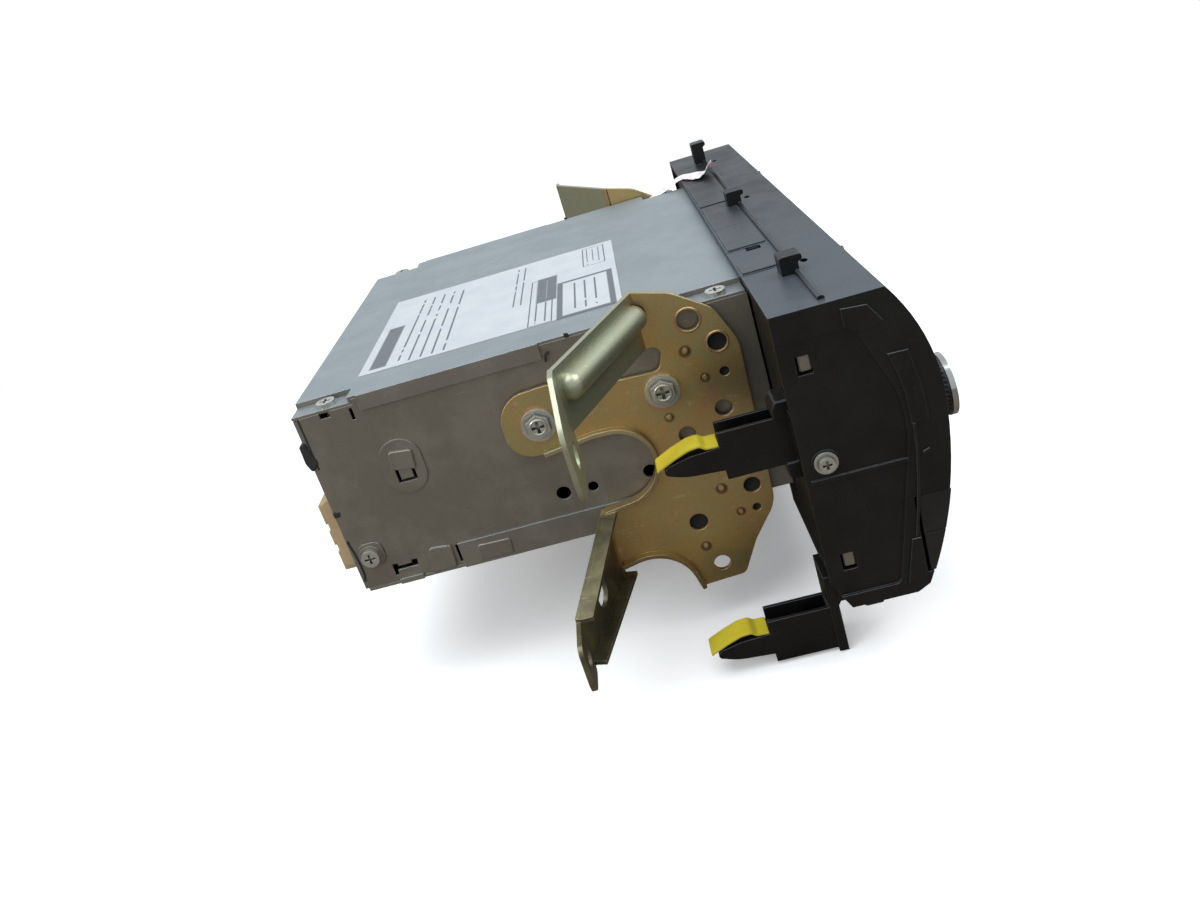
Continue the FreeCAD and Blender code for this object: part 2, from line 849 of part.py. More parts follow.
def makeCaseScrews():
    screws = []
    size = (dim.screwHead, dim.screwHeadTall, dim.screwShank, dim.screwLength)
    for side in (-1, 1):
        for along in (dim.coverScrewFront, dim.coverScrewRear):
            screws.append(screwAt("CoverScrew", "Z", (side * coverScrewX, along),
                                  recessFloor + dim.coverSheet, 1, *size))
        screws.append(screwAt("SideScrew", "X", (dim.sideScrewY, dim.sideScrewZ),
                              side * (half + dim.emboss), side, *size))
        for up in (dim.rearScrewLow, dim.rearScrewTop):
            screws.append(screwAt("RearScrew", "Y", (side * dim.rearScrewX, up),
                                  dim.chassisDepth + dim.panelSheet, 1, dim.screwHead * 0.7, dim.screwHeadTall,
                                  dim.screwShank, dim.screwLength))
    node(group("CaseScrews", screws), "case_screws")


# Side brackets

def bandAlong(points, thickness):
    """An outline that follows a run of (across, up, radius) points on one side, with a steady thickness."""
    near = [V(float(point[0]), float(point[1]), 0) for point in points]
    far = []
    for index, point in enumerate(near):
        steps = []
        if index > 0:
            steps.append(point - near[index - 1])
        if index < len(near) - 1:
            steps.append(near[index + 1] - point)
        normals = []
        for step in steps:
            step.normalize()
            normals.append(V(-step.y, step.x, 0))
        mean = normals[0] if len(normals) == 1 else normals[0] + normals[1]
        mean.normalize()
        far.append(point + mean * (thickness / mean.dot(normals[0])))
    radii = [float(point[2]) if len(point) > 2 else 0 for point in points]
    loop = [(point.x, point.y, radius) for point, radius in zip(near, radii)]
    back = []
    for index, point in enumerate(far):
        radius = radii[index]
        if radius:
            bend = (near[index] - near[index - 1]).cross(near[index + 1] - near[index]).z
            radius = radius - thickness if bend > 0 else radius + thickness
        back.append((point.x, point.y, max(radius, 0)))
    return loop + back[::-1]


def extruded(name, plane, low, high, corners):
    """A plate of any outline between two levels."""
    body = newBody(name)
    add(body, plane, low, high, outline(corners))
    return body


def makeLeftBracket():
    inner = -bracketInner
    outer = -bracketOuter
    sheetThick = dim.bracketSheet
    notch = [(dim.boltUpperY + 1, 36, 0), (62, 38.2, 12), (44.6, 37.6, 13), (43.6, 11.6, 14), (57, 10.6, 8),
             (dim.lowFoldY, dim.lowEarFoldTop, 0)]
    arch = [(dim.lowFoldY, -15, 0), (45.5, -10.6, 15), (40.4, -31, 0)]
    plate = newBody("LeftBracketPlate")
    add(plate, "YZ", outer, inner, outline([
        (dim.earFoldY, dim.earTop, 0), (24.4, 79.8, 12), (12, 71, 10), (6.4, 58, 14), (7.8, -4.5, 14),
        (17.5, -17.5, 6), (24, -30, 3), (40.4, -31, 0), (45.5, -10.6, 15), (dim.lowFoldY, -15, 0),
        (dim.lowFoldY, dim.lowEarFoldTop, 0), (57, 10.6, 8), (43.6, 11.6, 14), (44.6, 37.6, 13), (62, 38.2, 12),
        (dim.boltUpperY + 1, 36, 4), (91, 37, 9), (91, 59.6, 11), (72, 60.6, 8), (51, 55.3, 3),
        (34, 54.6, 3.4), (31.2, 63, 2.6), (dim.earFoldY, dim.earLow, 0)]))
    pieces = [plate]
    for name, path in (("NotchLip", notch), ("ArchLip", arch)):
        pieces.append(extruded(name, "YZ", outer - dim.lipReach, outer + 0.2,
                               bandAlong(path[::-1], float(dim.lipWide))))
    earDirection = V(-(float(dim.earOut) - float(bracketOuter)), float(dim.earPlaneY - dim.earFoldY), 0)
    earDirection.normalize()
    strip = bandAlong([(-bracketOuter + 0.3, dim.earFoldY - 0.2), (-dim.earOut, dim.earPlaneY)], -float(sheetThick))
    pieces.append(extruded("UpperEarStrip", "XY", dim.earLow, dim.earTop, strip))
    foldX = -dim.earOut + 1
    pieces.append(extruded("UpperEarTab", "XZ", dim.earPlaneY, dim.earPlaneY + sheetThick, [
        (foldX, dim.earLow, 0), (foldX, dim.earTop, 0), (-dim.earOut - 5, dim.earTop, 3),
        (-dim.earTabOut, dim.earHoleZ + 12, 8), (-dim.earTabOut, dim.earHoleZ - dim.earTabRadius, 11),
        (-dim.earHoleX + dim.earTabRadius, dim.earHoleZ - dim.earTabRadius, 11),
        (-dim.earHoleX + dim.earTabRadius, dim.earLow - 1, 1)]))
    ribStart = V(-bracketOuter - 2, dim.earFoldY + 0.6, dim.ribZ)
    ribLength = 48
    rib = doc.addObject("Part::Cylinder", "EarRib")
    bind(rib, "Radius", dim.ribRadius)
    rib.Height = ribLength
    rib.Placement = FreeCAD.Placement(ribStart, FreeCAD.Rotation(V(0, 0, 1), earDirection))
    ends = []
    for place in (ribStart, ribStart + earDirection * ribLength):
        ball = doc.addObject("Part::Sphere", "EarRibEnd")
        bind(ball, "Radius", dim.ribRadius)
        ball.Placement = FreeCAD.Placement(place, FreeCAD.Rotation())
        ends.append(ball)
    behind = extruded("BehindStrip", "XY", dim.earLow, dim.earTop, [
        (-bracketOuter + 1.2, dim.earFoldY - 0.4, 0), (-dim.earOut, dim.earPlaneY + 0.6, 0),
        (-dim.earOut, dim.earPlaneY + 12, 0), (-bracketOuter + 1.2, dim.earFoldY + 12, 0)])
    inside = block("InsidePlate", (-bracketOuter + 0.6, -half + 12), (dim.earFoldY - 20, dim.earFoldY + 20),
                   (dim.earLow, dim.earTop))
    pieces.append(cut("EarRibProud", fuse("EarRibWhole", [rib] + ends), [behind, inside]))
    lowRun = [(-bracketOuter + 0.3, dim.lowFoldY - 0.3), (-dim.lowEarOut, dim.lowPlaneY)]
    web = newBody("LowerEarWeb")
    add(web, "XY", dim.lowEarBottom, dim.lowEarFoldTop, outline(bandAlong(lowRun, -float(sheetThick))))
    remove(web, "XZ", dim.lowFoldY - 5, dim.lowPlaneY + 5, outline([
        (-half, dim.lowEarFoldTop + 0.4, 0), (-dim.lowEarOut - 4, dim.lowEarEndTop - 0.6, 0),
        (-dim.lowEarOut - 4, dim.lowEarFoldTop + 4, 0), (-half, dim.lowEarFoldTop + 4, 0)]))
    pieces.append(web)
    lipBand = bandAlong(lowRun, float(dim.lowLip))
    pieces.append(extruded("LowerEarBottomLip", "XY", dim.lowEarBottom, dim.lowEarBottom + sheetThick, lipBand))
    lipSlope = extruded("LowerEarTopSlope", "XZ", dim.lowFoldY - 12, dim.lowPlaneY + 12, [
        (-bracketOuter, dim.lowEarFoldTop, 0), (-dim.lowEarOut, dim.lowEarEndTop, 0),
        (-dim.lowEarOut, dim.lowEarEndTop - sheetThick, 0), (-bracketOuter, dim.lowEarFoldTop - sheetThick, 0)])
    lipReach = extruded("LowerEarTopReach", "XY", dim.lowEarBottom, dim.lowEarFoldTop + 1, lipBand)
    topLip = doc.addObject("Part::Common", "LowerEarTopLip")
    topLip.Base = lipSlope
    topLip.Tool = lipReach
    pieces.append(topLip)
    lowTabIn = -dim.lowEarOut + 1.2
    pieces.append(extruded("LowerEarTab", "XZ", dim.lowPlaneY, dim.lowPlaneY + sheetThick, [
        (lowTabIn, dim.lowEarEndTop - 1, 0), (-dim.lowEarTabOut, dim.lowEarEndTop - 2, 3),
        (-dim.lowEarTabOut, -21.5, 6), (lowTabIn, dim.lowEarBottom - 2.5, 3)]))
    whole = fuse("LeftBracketWhole", pieces)
    boltHole = dim.boltShank + dim.boltHoleGap
    plateHoles = [(dim.boltUpperY, dim.boltZ, boltHole), (dim.boltFrontY, dim.boltZ, boltHole),
                  (20.8, 69.2, 3.7), (13.3, 59.2, 3.2), (13.4, 48.3, 1.7), (16.7, 35.5, 3), (30.9, 29.3, 3),
                  (14.1, 4.2, 3), (14.4, -4.8, 1.5), (35.4, -4.9, 3.3), (31.3, -23.5, 3)]
    dimples = [(24.3, 58.8, 1.5), (20.1, 47.9, 1.2), (35.2, 37.2, 1.3), (24.6, 5.7, 1.5), (20.1, -5, 1.2),
               (35.2, -15.3, 1.4)]
    tools = [rod("PlateHole", "X", hole[:2], outer - 3, inner + 1, hole[2]) for hole in plateHoles]
    tools += [rod("Dimple", "X", hole[:2], outer - 1, outer + dim.bracketSheet / 2, hole[2]) for hole in dimples]
    tools.append(rod("UpperEarHole", "Y", (-dim.earHoleX, dim.earHoleZ), dim.earPlaneY - 2, dim.earPlaneY + 4,
                     dim.earHoleRadius))
    tools.append(rod("LowerEarHole", "Y", (-dim.lowHoleX, dim.lowHoleZ), dim.lowPlaneY - 3, dim.lowPlaneY + 4,
                     dim.lowHoleRadius))
    tools.append(rod("LowerWebHole", "Y", (-115, -8), dim.lowFoldY - 4, dim.lowPlaneY + 2, 4.6))
    return node(cut("LeftBracket", whole, tools), "left_bracket")


def makeBracketBolts():
    bolts = []
    for side in (-1, 1):
        for along in (dim.boltUpperY, dim.boltFrontY):
            centre = (along, dim.boltZ)
            seat = side * bracketOuter
            flange = rod("BoltFlange", "X", centre, *spanFrom(seat, side, dim.boltFlangeTall), dim.boltFlange)
            hexagon = doc.addObject("Part::Prism", "BoltHex")
            hexagon.Placement = FreeCAD.Placement(V(), turns["X"])
            hexagon.Polygon = 6
            bind(hexagon, "Circumradius", dim.boltHex / math.sqrt(3))
            bind(hexagon, "Height", dim.boltHexTall)
            bind(hexagon, "Placement.Base.x", spanFrom(seat, side, dim.boltHexTall)[0])
            bind(hexagon, "Placement.Base.y", along)
            bind(hexagon, "Placement.Base.z", dim.boltZ)
            shank = rod("BoltShank", "X", centre, *spanFrom(seat, -side, dim.boltLength), dim.boltShank - 0.1)
            top = seat + side * dim.boltHexTall
            recess = spanFrom(top - side * dim.crossDepth * 1.5, side, dim.crossDepth * 2)
            slots = [block("BoltSlot", recess, (along - wide, along + wide), (dim.boltZ - tall, dim.boltZ + tall))
                     for wide, tall in ((2.2, 0.55), (0.55, 2.2))]
            bolts.append(cut("Bolt", fuse("BoltWhole", [flange, hexagon, shank]), slots))
    node(group("BracketBolts", bolts), "bracket_bolts")


def spanFrom(start, side, length):
    """The (low, high) pair of a length that runs outward (+1) or inward (-1) on X from a start."""
    start = number(start)
    return (start, start + length) if side > 0 else (start - length, start)


# Rear connectors and boards

def makeMainConnector():
    housing = newBody("MainConnector")
    wide = dim.plugWidth / 2
    top = dim.plugLow + dim.plugTall
    mouth = dim.chassisDepth + dim.plugReach
    add(housing, "XZ", dim.plugBack, mouth, rectangle(dim.plugX - wide, dim.plugX + wide, dim.plugLow, top))
    remove(housing, "XZ", mouth - dim.plugDepth, mouth + 1,
           rectangle(dim.plugX - wide + dim.plugWall, dim.plugX + wide - dim.plugWall,
                     dim.plugLow + dim.plugWall, top - dim.plugWall))
    remove(housing, "XZ", mouth - dim.plugDepth / 2, mouth + 1,
           rectangle(dim.plugX - wide - 1, dim.plugX - wide + dim.plugWall + 1, top - 11, top - 8),
           rectangle(dim.plugX - wide - 1, dim.plugX - wide + dim.plugWall + 1, dim.plugLow + 8, dim.plugLow + 11))
    node(housing, "main_connector")
    pins = []
    start = mouth - dim.plugDepth
    middle = dim.plugLow + dim.plugTall / 2
    rows = int(float(dim.pinRows))
    for column in (-1, 1):
        centre = dim.plugX + column * dim.pinColumns / 2
        for line in range(rows):
            up = middle + (line - (rows - 1) / 2) * dim.pinPitch
            pins.append(block("Pin", (centre - dim.pinSide / 2, centre + dim.pinSide / 2),
                              (start, start + dim.pinLength), (up - dim.pinSide / 2, up + dim.pinSide / 2)))
    node(group("ConnectorPins", pins), "connector_pins")


def makeHeatSink():
    sink = newBody("HeatSink")
    rear = dim.chassisDepth + dim.panelSheet
    add(sink, "XZ", dim.sinkFront, rear, rectangle(dim.sinkLeft, dim.sinkRight, boardTop, dim.sinkTop))
    count = int(float(dim.sinkGrooves))
    pitch = (dim.sinkRight - dim.sinkLeft) / count
    for index in range(count):
        left = dim.sinkLeft + pitch * (index + 0.5) - dim.sinkGroove / 2
        remove(sink, "XZ", rear - dim.sinkGrooveDepth, rear + 1,
               rectangle(left, left + dim.sinkGroove, boardTop - 1, dim.sinkTop + 1))
    node(sink, "heat_sink")


def makeTunerAndAntenna():
    tunerRear = dim.chassisDepth - 2 * dim.frameSheet
    left = dim.antennaX - dim.tunerWidth / 2
    can = newBody("TunerModule")
    add(can, "XY", boardTop, boardTop + dim.tunerTall,
        rectangle(left, left + dim.tunerWidth, dim.tunerFront, tunerRear))
    remove(can, "XY", boardTop + dim.tunerTall - 0.5, boardTop + dim.tunerTall + 1,
           *[circle(left + 6 + 7.3 * column, dim.tunerFront + 8 + 9 * line, 1.6)
             for column in range(4) for line in range(4)])
    node(can, "tuner_module")
    barrel = rod("AntennaBarrel", "Y", (dim.antennaX, dim.antennaZ), tunerRear,
                 dim.chassisDepth + dim.antennaReach, dim.antennaRadius)
    bore = rod("AntennaBore", "Y", (dim.antennaX, dim.antennaZ),
               dim.chassisDepth + dim.antennaReach - dim.antennaDepth,
               dim.chassisDepth + dim.antennaReach + 1, dim.antennaBore)
    groove = cut("AntennaGrooveRing",
                 rod("AntennaGroove", "Y", (dim.antennaX, dim.antennaZ), dim.chassisDepth + 4,
                     dim.chassisDepth + 5, dim.antennaRadius + 1),
                 [rod("AntennaCore", "Y", (dim.antennaX, dim.antennaZ), dim.chassisDepth + 3,
                      dim.chassisDepth + 6, dim.antennaRadius - 0.5)])
    node(cut("AntennaSocket", barrel, [bore, groove]), "antenna_socket")


def makeBoardParts():
    board = newBody("MainBoard")
    rear = dim.chassisDepth - dim.frameSheet - dim.panelGap
    add(board, "XY", dim.boardLow, boardTop, rectangle(-dim.boardHalf, dim.boardHalf, dim.boardFront, rear))
    remove(board, "XY", dim.boardLow - 1, boardTop + 1,
           *[circle(side * dim.standoffX, along, dim.screwShank) for side in (-1, 1)
             for along in (dim.standoffFront, dim.standoffRear)])
    node(board, "main_board")
    node(block("AmplifierChip", (dim.ampLeft, dim.ampLeft + dim.ampWidth),
               (dim.sinkFront - dim.ampDepth, dim.sinkFront), (boardTop, boardTop + dim.ampTall)), "amplifier_chip")
    cans = [(-60, 120, 8, 24), (-40, 118, 5, 16), (18, 126, 6.5, 20), (36, 60, 5, 14), (-66, 40, 4, 12)]
    node(group("Capacitors", [rod("Capacitor", "Z", can[:2], boardTop, boardTop + can[3], can[2])
                              for can in cans]), "capacitors")


# Disc mechanism

deckTop = dim.deckLow + dim.deckSheet
gearRadius = dim.gearModule * dim.gearTeeth / 2
pinionRadius = dim.gearModule * dim.pinionTeeth / 2
gearCentres = gearRadius + pinionRadius
pinionZ = dim.rollerZ - dim.loadMotorDrop
pinionRun = math.sqrt(float(gearCentres) ** 2 - float(dim.loadMotorDrop) ** 2)
pinionY = dim.rollerY + pinionRun
gearLeft = dim.deckHalf + dim.gearGap


def makeDeckBase():
    base = newBody("DeckBase")
    outer = dim.deckHalf
    inner = dim.deckHalf - dim.deckWall
    add(base, "XY", dim.deckLow, deckTop, rectangle(-outer, outer, dim.deckFront, dim.deckRear))
    for low, high in bothSides(inner, outer):
        add(base, "XY", dim.deckLow, dim.deckWallTop, rectangle(low, high, dim.deckFront, dim.deckRear))
        add(base, "XY", dim.deckLow, dim.deckFrontWallTop,
            rectangle(low, high, dim.deckFront, dim.deckFrontWallRear))
    for low, high in bothSides(inner, outer + dim.deckEar):
        for along in (dim.earFrontY, dim.earRearY):
            add(base, "XY", dim.deckLow, deckTop,
                rectangle(low, high, along - dim.deckEarLong / 2, along + dim.deckEarLong / 2))
    for low, high in bothSides(dim.clampLugX, dim.clampLugX + dim.clampLugSheet):
        add(base, "XY", dim.deckLow, dim.clampLugTop, rectangle(low, high, dim.clampLugFront, dim.deckRear))
    bridge = dim.clampLugX + dim.clampLugSheet
    add(base, "XY", dim.deckLow, dim.clampLugTop,
        rectangle(-bridge, bridge, dim.deckRear - dim.bridgeThick, dim.deckRear))
    bearer = dim.railRadius + 2
    for middle in (-dim.railX, dim.railX):
        for front, back in ((dim.railFront - dim.railBlock, dim.railFront), (dim.railRear, dim.deckRear)):
            add(base, "XY", dim.deckLow, dim.railZ + bearer, rectangle(middle - bearer, middle + bearer, front, back))
    bearing = dim.leadRadius + 1.2
    add(base, "XY", dim.deckLow, dim.railZ + bearing,
        rectangle(dim.leadX - bearing, dim.leadX + bearing, dim.leadEnd + 0.3, dim.leadEnd + 2.3))
    remove(base, "XY", dim.deckLow - 1, deckTop + 1, circle(0, dim.discCentreY, dim.spindleHole),
           rectangle(-45, -25, 60, 120), rectangle(40, 58, 60, 120))
    for low, high in bothSides(inner - 1, outer + 1):
        remove(base, "YZ", low, high, circle(dim.rollerY, dim.rollerZ, dim.rollerShaft + dim.runningGap))
    remove(base, "YZ", inner - 1, outer + 1, circle(pinionY, pinionZ, dim.loadShaft + 0.5))
    for low, high in bothSides(dim.clampLugX - 1, dim.clampLugX + dim.clampLugSheet + 1):
        remove(base, "YZ", low, high, circle(dim.clampY, dim.clampZ, dim.clampPinRadius + dim.runningGap))
    node(base, "deck_base")
    dampers = [rod("Damper", "Z", (side * dim.damperX, along), dim.shelfTop, dim.deckLow, dim.damperRadius)
               for side in (-1, 1) for along in (dim.earFrontY, dim.earRearY)]
    node(group("DeckDampers", dampers), "deck_dampers")


def makeDiscGuide():
    guide = newBody("DiscGuide")
    edge = dim.deckHalf - dim.deckWall
    top = dim.guideLow + dim.guideSheet
    add(guide, "XY", dim.guideLow, top, rectangle(-edge, edge, dim.deckFront, dim.guideRear))
    for start in (dim.deckFront, dim.guideRear - dim.guideRib):
        add(guide, "XY", dim.guideLow, top + dim.guideRib, rectangle(-edge, edge, start, start + dim.guideRib))
    node(guide, "disc_guide")


def makeSpindle():
    centre = (0, dim.discCentreY)
    can = rod("SpindleCan", "Z", centre, dim.deckLow - dim.spindleMotorTall, dim.deckLow, dim.spindleMotorRadius)
    bore = rod("SpindleBore", "Z", centre, dim.deckLow - dim.spindleMotorTall + 1, dim.deckLow + 1,
               dim.spindleRadius + dim.runningGap)
    node(cut("SpindleMotor", can, [bore]), "spindle_motor")
    platterLow = dim.discLow - dim.platterTall
    platter = rod("Platter", "Z", centre, platterLow, dim.discLow, dim.platterRadius)
    hub = doc.addObject("Part::Cone", "PlatterHub")
    bind(hub, "Radius1", dim.hubRadius)
    bind(hub, "Radius2", dim.hubRadius - 1)
    bind(hub, "Height", dim.hubTall)
    bind(hub, "Placement.Base.y", dim.discCentreY)
    bind(hub, "Placement.Base.z", dim.discLow)
    shaft = rod("SpindleShaft", "Z", centre, dim.deckLow - dim.spindleMotorTall + 1.5, platterLow, dim.spindleRadius)
    node(fuse("Turntable", [platter, hub, shaft]), "turntable")


def makeClamp():
    low = dim.clampZ - dim.clampArmSheet / 2
    top = dim.clampZ + dim.clampArmSheet / 2
    tail = dim.clampY + dim.clampTail
    nose = dim.clampNose
    plate = newBody("ClampPlate")
    add(plate, "XY", low, top, outline([
        (-dim.clampArmHalf, tail, 1), (-dim.clampArmHalf, tail - 16, 8), (-nose, dim.discCentreY + 22, 14),
        (-nose, dim.discCentreY - nose, float(nose) * 0.98), (nose, dim.discCentreY - nose, float(nose) * 0.98),
        (nose, dim.discCentreY + 22, 14), (dim.clampArmHalf, tail - 16, 8), (dim.clampArmHalf, tail, 1)]),
        circle(0, dim.discCentreY, dim.puckStem + dim.puckStemGap))
    for side_low, side_high in bothSides(dim.clampArmHalf - 1.5, dim.clampArmHalf):
        add(plate, "XY", low, top + 1.2, rectangle(side_low, side_high, tail - 12, tail))
    pins = [rod("ClampPin", "X", (dim.clampY, dim.clampZ), span[0], span[1], dim.clampPinRadius)
            for span in bothSides(dim.clampArmHalf - 3, dim.clampLugX + dim.clampLugSheet)]
    node(fuse("ClampArm", [plate] + pins), "clamp_arm")
    centre = (0, dim.discCentreY)
    puckLow = dim.discLow + dim.puckLift
    puckTop = puckLow + dim.puckTall
    capLow = top + 0.4
    disc = rod("PuckDisc", "Z", centre, puckLow, puckTop, dim.puckRadius)
    stem = rod("PuckStem", "Z", centre, puckTop, capLow, dim.puckStem)
    cap = rod("PuckCap", "Z", centre, capLow, capLow + dim.puckCapTall, dim.puckCap)
    recess = rod("PuckRecess", "Z", centre, puckLow - 1, puckLow + dim.puckRecessDeep, dim.puckRecess)
    node(cut("ClampPuck", fuse("PuckWhole", [disc, stem, cap]), [recess]), "clamp_puck")
    leaf = newBody("ClampSpring")
    under = top + dim.leafGap
    seat = dim.clampLugTop
    add(leaf, "YZ", -dim.leafHalf, dim.leafHalf, outline([
        (dim.deckRear, seat, 0), (dim.deckRear, seat + dim.leafSheet, 0),
        (dim.deckRear - dim.bridgeThick - 1, seat + dim.leafSheet, 0), (dim.leafFront, under + dim.leafSheet, 0),
        (dim.leafFront, under, 0), (dim.deckRear - dim.bridgeThick - 1, seat, 0)]))
    node(leaf, "clamp_spring")


def makePickup():
    sled = newBody("PickupSled")
    front = dim.lensY - dim.sledLong / 2
    back = dim.lensY + dim.sledLong / 2
    armEdge = dim.railX + dim.sledArm
    add(sled, "XY", dim.sledLow, dim.sledTop, rectangle(-dim.sledHalf, dim.sledHalf, front, back))
    for low, high in bothSides(dim.sledHalf, armEdge):
        add(sled, "XY", dim.railZ - dim.sledArm, dim.railZ + dim.sledArm, rectangle(low, high, front + 2, back - 2))
    fingerEnd = dim.leadX - dim.leadRadius - dim.fingerGap
    add(sled, "XY", dim.railZ - dim.fingerTall / 2, dim.railZ + dim.fingerTall / 2,
        rectangle(armEdge, fingerEnd, dim.lensY - dim.fingerLong / 2, dim.lensY + dim.fingerLong / 2))
    remove(sled, "XZ", front - 1, back + 1,
           *[circle(side * dim.railX, dim.railZ, dim.railRadius + dim.runningGap) for side in (-1, 1)])
    remove(sled, "XY", dim.sledTop - dim.lensSink, dim.sledTop + 1, circle(0, dim.lensY, dim.lensWell))
    node(sled, "pickup_sled")
    lensLow = dim.sledTop - dim.lensSink
    holder = rod("LensHolder", "Z", (0, dim.lensY), lensLow, lensLow + dim.lensTall, dim.lensRadius)
    dome = doc.addObject("Part::Sphere", "LensDome")
    bind(dome, "Radius", dim.lensRadius * 0.6)
    bind(dome, "Placement.Base.y", dim.lensY)
    bind(dome, "Placement.Base.z", lensLow + dim.lensTall - dim.lensRadius * 0.3)
    node(fuse("PickupLens", [holder, dome]), "pickup_lens")
    node(group("GuideRods", [rod("GuideRod", "Y", (side * dim.railX, dim.railZ), dim.railFront, dim.railRear,
                                 dim.railRadius) for side in (-1, 1)]), "guide_rods")
    start = dim.leadEnd - dim.leadPitch * (dim.leadTurns + 1)
    threads = [rod("LeadCore", "Y", (dim.leadX, dim.railZ), dim.sledMotorRear + 0.3, dim.leadEnd, dim.leadCore)]
    for index in range(int(float(dim.leadTurns))):
        crest = start + dim.leadPitch * (index + 0.5)
        threads.append(rod("LeadThread", "Y", (dim.leadX, dim.railZ), crest, crest + dim.leadPitch / 2,
                           dim.leadRadius))
    node(fuse("LeadScrew", threads), "lead_screw")
    node(rod("SledMotor", "Y", (dim.leadX, dim.railZ), dim.sledMotorFront, dim.sledMotorRear,
             dim.sledMotorRadius), "sled_motor")


def gearEdges(teeth, centreY, centreZ, startAngle):
    """Straight-sided approximations of involute teeth round a centre, first tooth at the start angle."""
    module = float(dim.gearModule)
    pitch = module * teeth / 2
    base = pitch * math.cos(math.radians(20))
    tip = pitch + 0.9 * module
    root = pitch - 1.2 * module
    play = float(dim.toothPlay) / 2 / pitch

    def halfAngle(radius):
        slope = math.acos(min(1, base / max(radius, base)))
        standard = math.radians(20)
        return math.pi / 2 / teeth - play + (math.tan(standard) - standard) - (math.tan(slope) - slope)

    profile = [(root, halfAngle(base)), ((root + pitch) / 2, halfAngle((root + pitch) / 2)),
               (pitch, halfAngle(pitch)), (tip, halfAngle(tip))]
    points = []
    for index in range(teeth):
        middle = startAngle + 2 * math.pi * index / teeth
        flank = [(radius, middle - angle) for radius, angle in profile]
        flank += [(radius, middle + angle) for radius, angle in profile[::-1]]
        points += [V(centreY + radius * math.cos(angle), centreZ + radius * math.sin(angle), 0)
                   for radius, angle in flank]
    return [Part.LineSegment(points[index], points[(index + 1) % len(points)]) for index in range(len(points))]


def makeLoading():
    roller = newBody("LoadingRoller")
    sketch = sketchOn(roller, "XY", dim.rollerZ, [])
    shaft = float(dim.rollerShaft)
    axisY = float(dim.rollerY)
    reach = float(dim.rollerHalf)
    rubberEnd = axisY + float(dim.rollerEnd)
    waist = axisY + float(dim.rollerWaist)
    left = -float(dim.deckHalf)
    right = float(gearLeft + dim.gearWidth)
    corners = [V(left, axisY, 0), V(left, axisY + shaft, 0), V(-reach, axisY + shaft, 0), V(-reach, rubberEnd, 0)]
    after = [V(reach, rubberEnd, 0), V(reach, axisY + shaft, 0), V(right, axisY + shaft, 0), V(right, axisY, 0)]
    edges = [Part.LineSegment(first, second) for first, second in zip(corners, corners[1:])]
    edges.append(Part.LineSegment(corners[-1], V(0, waist, 0)))
    edges.append(Part.LineSegment(V(0, waist, 0), after[0]))
    edges += [Part.LineSegment(first, second) for first, second in zip(after, after[1:] + corners[:1])]
    edgesOf(edges)(sketch)
    spin = roller.newObject("PartDesign::Revolution", "Turn")
    spin.Profile = sketch
    spin.ReferenceAxis = (sketch, [f"Edge{len(edges)}"])
    spin.Angle = 360
    node(roller, "loading_roller")
    towards = math.atan2(float(pinionZ - dim.rollerZ), float(pinionY - dim.rollerY))
    gear = newBody("RollerGear")
    teeth = int(float(dim.gearTeeth))
    add(gear, "YZ", gearLeft, gearLeft + dim.gearWidth,
        edgesOf(gearEdges(teeth, float(dim.rollerY), float(dim.rollerZ), towards)),
        circle(dim.rollerY, dim.rollerZ, dim.rollerShaft + 0.02))
    node(gear, "roller_gear")
    pinion = newBody("PinionTeeth")
    teeth = int(float(dim.pinionTeeth))
    add(pinion, "YZ", gearLeft, gearLeft + dim.gearWidth,
        edgesOf(gearEdges(teeth, float(pinionY), float(pinionZ), towards + math.pi + math.pi / teeth)))
    motorRight = dim.deckHalf - dim.deckWall - 3
    motorLeft = motorRight - dim.loadMotorLong
    centre = (pinionY, pinionZ)
    shaftRod = rod("PinionShaft", "X", centre, motorRight - 8, gearLeft, dim.loadShaft)
    node(fuse("MotorPinion", [pinion, shaftRod]), "motor_pinion")
    can = rod("LoadCan", "X", centre, motorLeft, motorRight, dim.loadMotorRadius)
    nose = rod("LoadNose", "X", centre, motorRight, dim.deckHalf - dim.deckWall, dim.loadShaft + 2)
    bore = rod("LoadBore", "X", centre, motorRight - 9, dim.deckHalf, dim.loadShaft + dim.runningGap)
    foot = block("LoadFoot", (motorLeft + 2, motorRight - 2), (pinionY - 4, pinionY + 4),
                 (deckTop, pinionZ - dim.loadMotorRadius + 1))
    node(cut("LoadingMotor", fuse("LoadMotorWhole", [can, nose, foot]), [bore]), "loading_motor")


# Front bezel

def faceY(up, inset=0.0):
    """The face's Y at a height, that far behind the outer surface."""
    radius = float(dim.upperArc if up > float(dim.crestZ) else dim.lowerArc) - inset
    centre = float(dim.crestY) + float(dim.upperArc if up > float(dim.crestZ) else dim.lowerArc)
    return centre - math.sqrt(radius ** 2 - (up - float(dim.crestZ)) ** 2)


def faceRun(low, top, inset):
    """The face's edges from a low to a high level, as arcs tangent at the crest."""
    crest = float(dim.crestZ)
    levels = [low] + ([crest] if low < crest < top else []) + [top]
    run = []
    for start, end in zip(levels, levels[1:]):
        middle = (start + end) / 2
        above = middle > crest
        ends = [V(faceY(up + (1e-9 if above else -1e-9), inset), up, 0) for up in (start, middle, end)]
        run.append(Part.Arc(*ends))
    return run


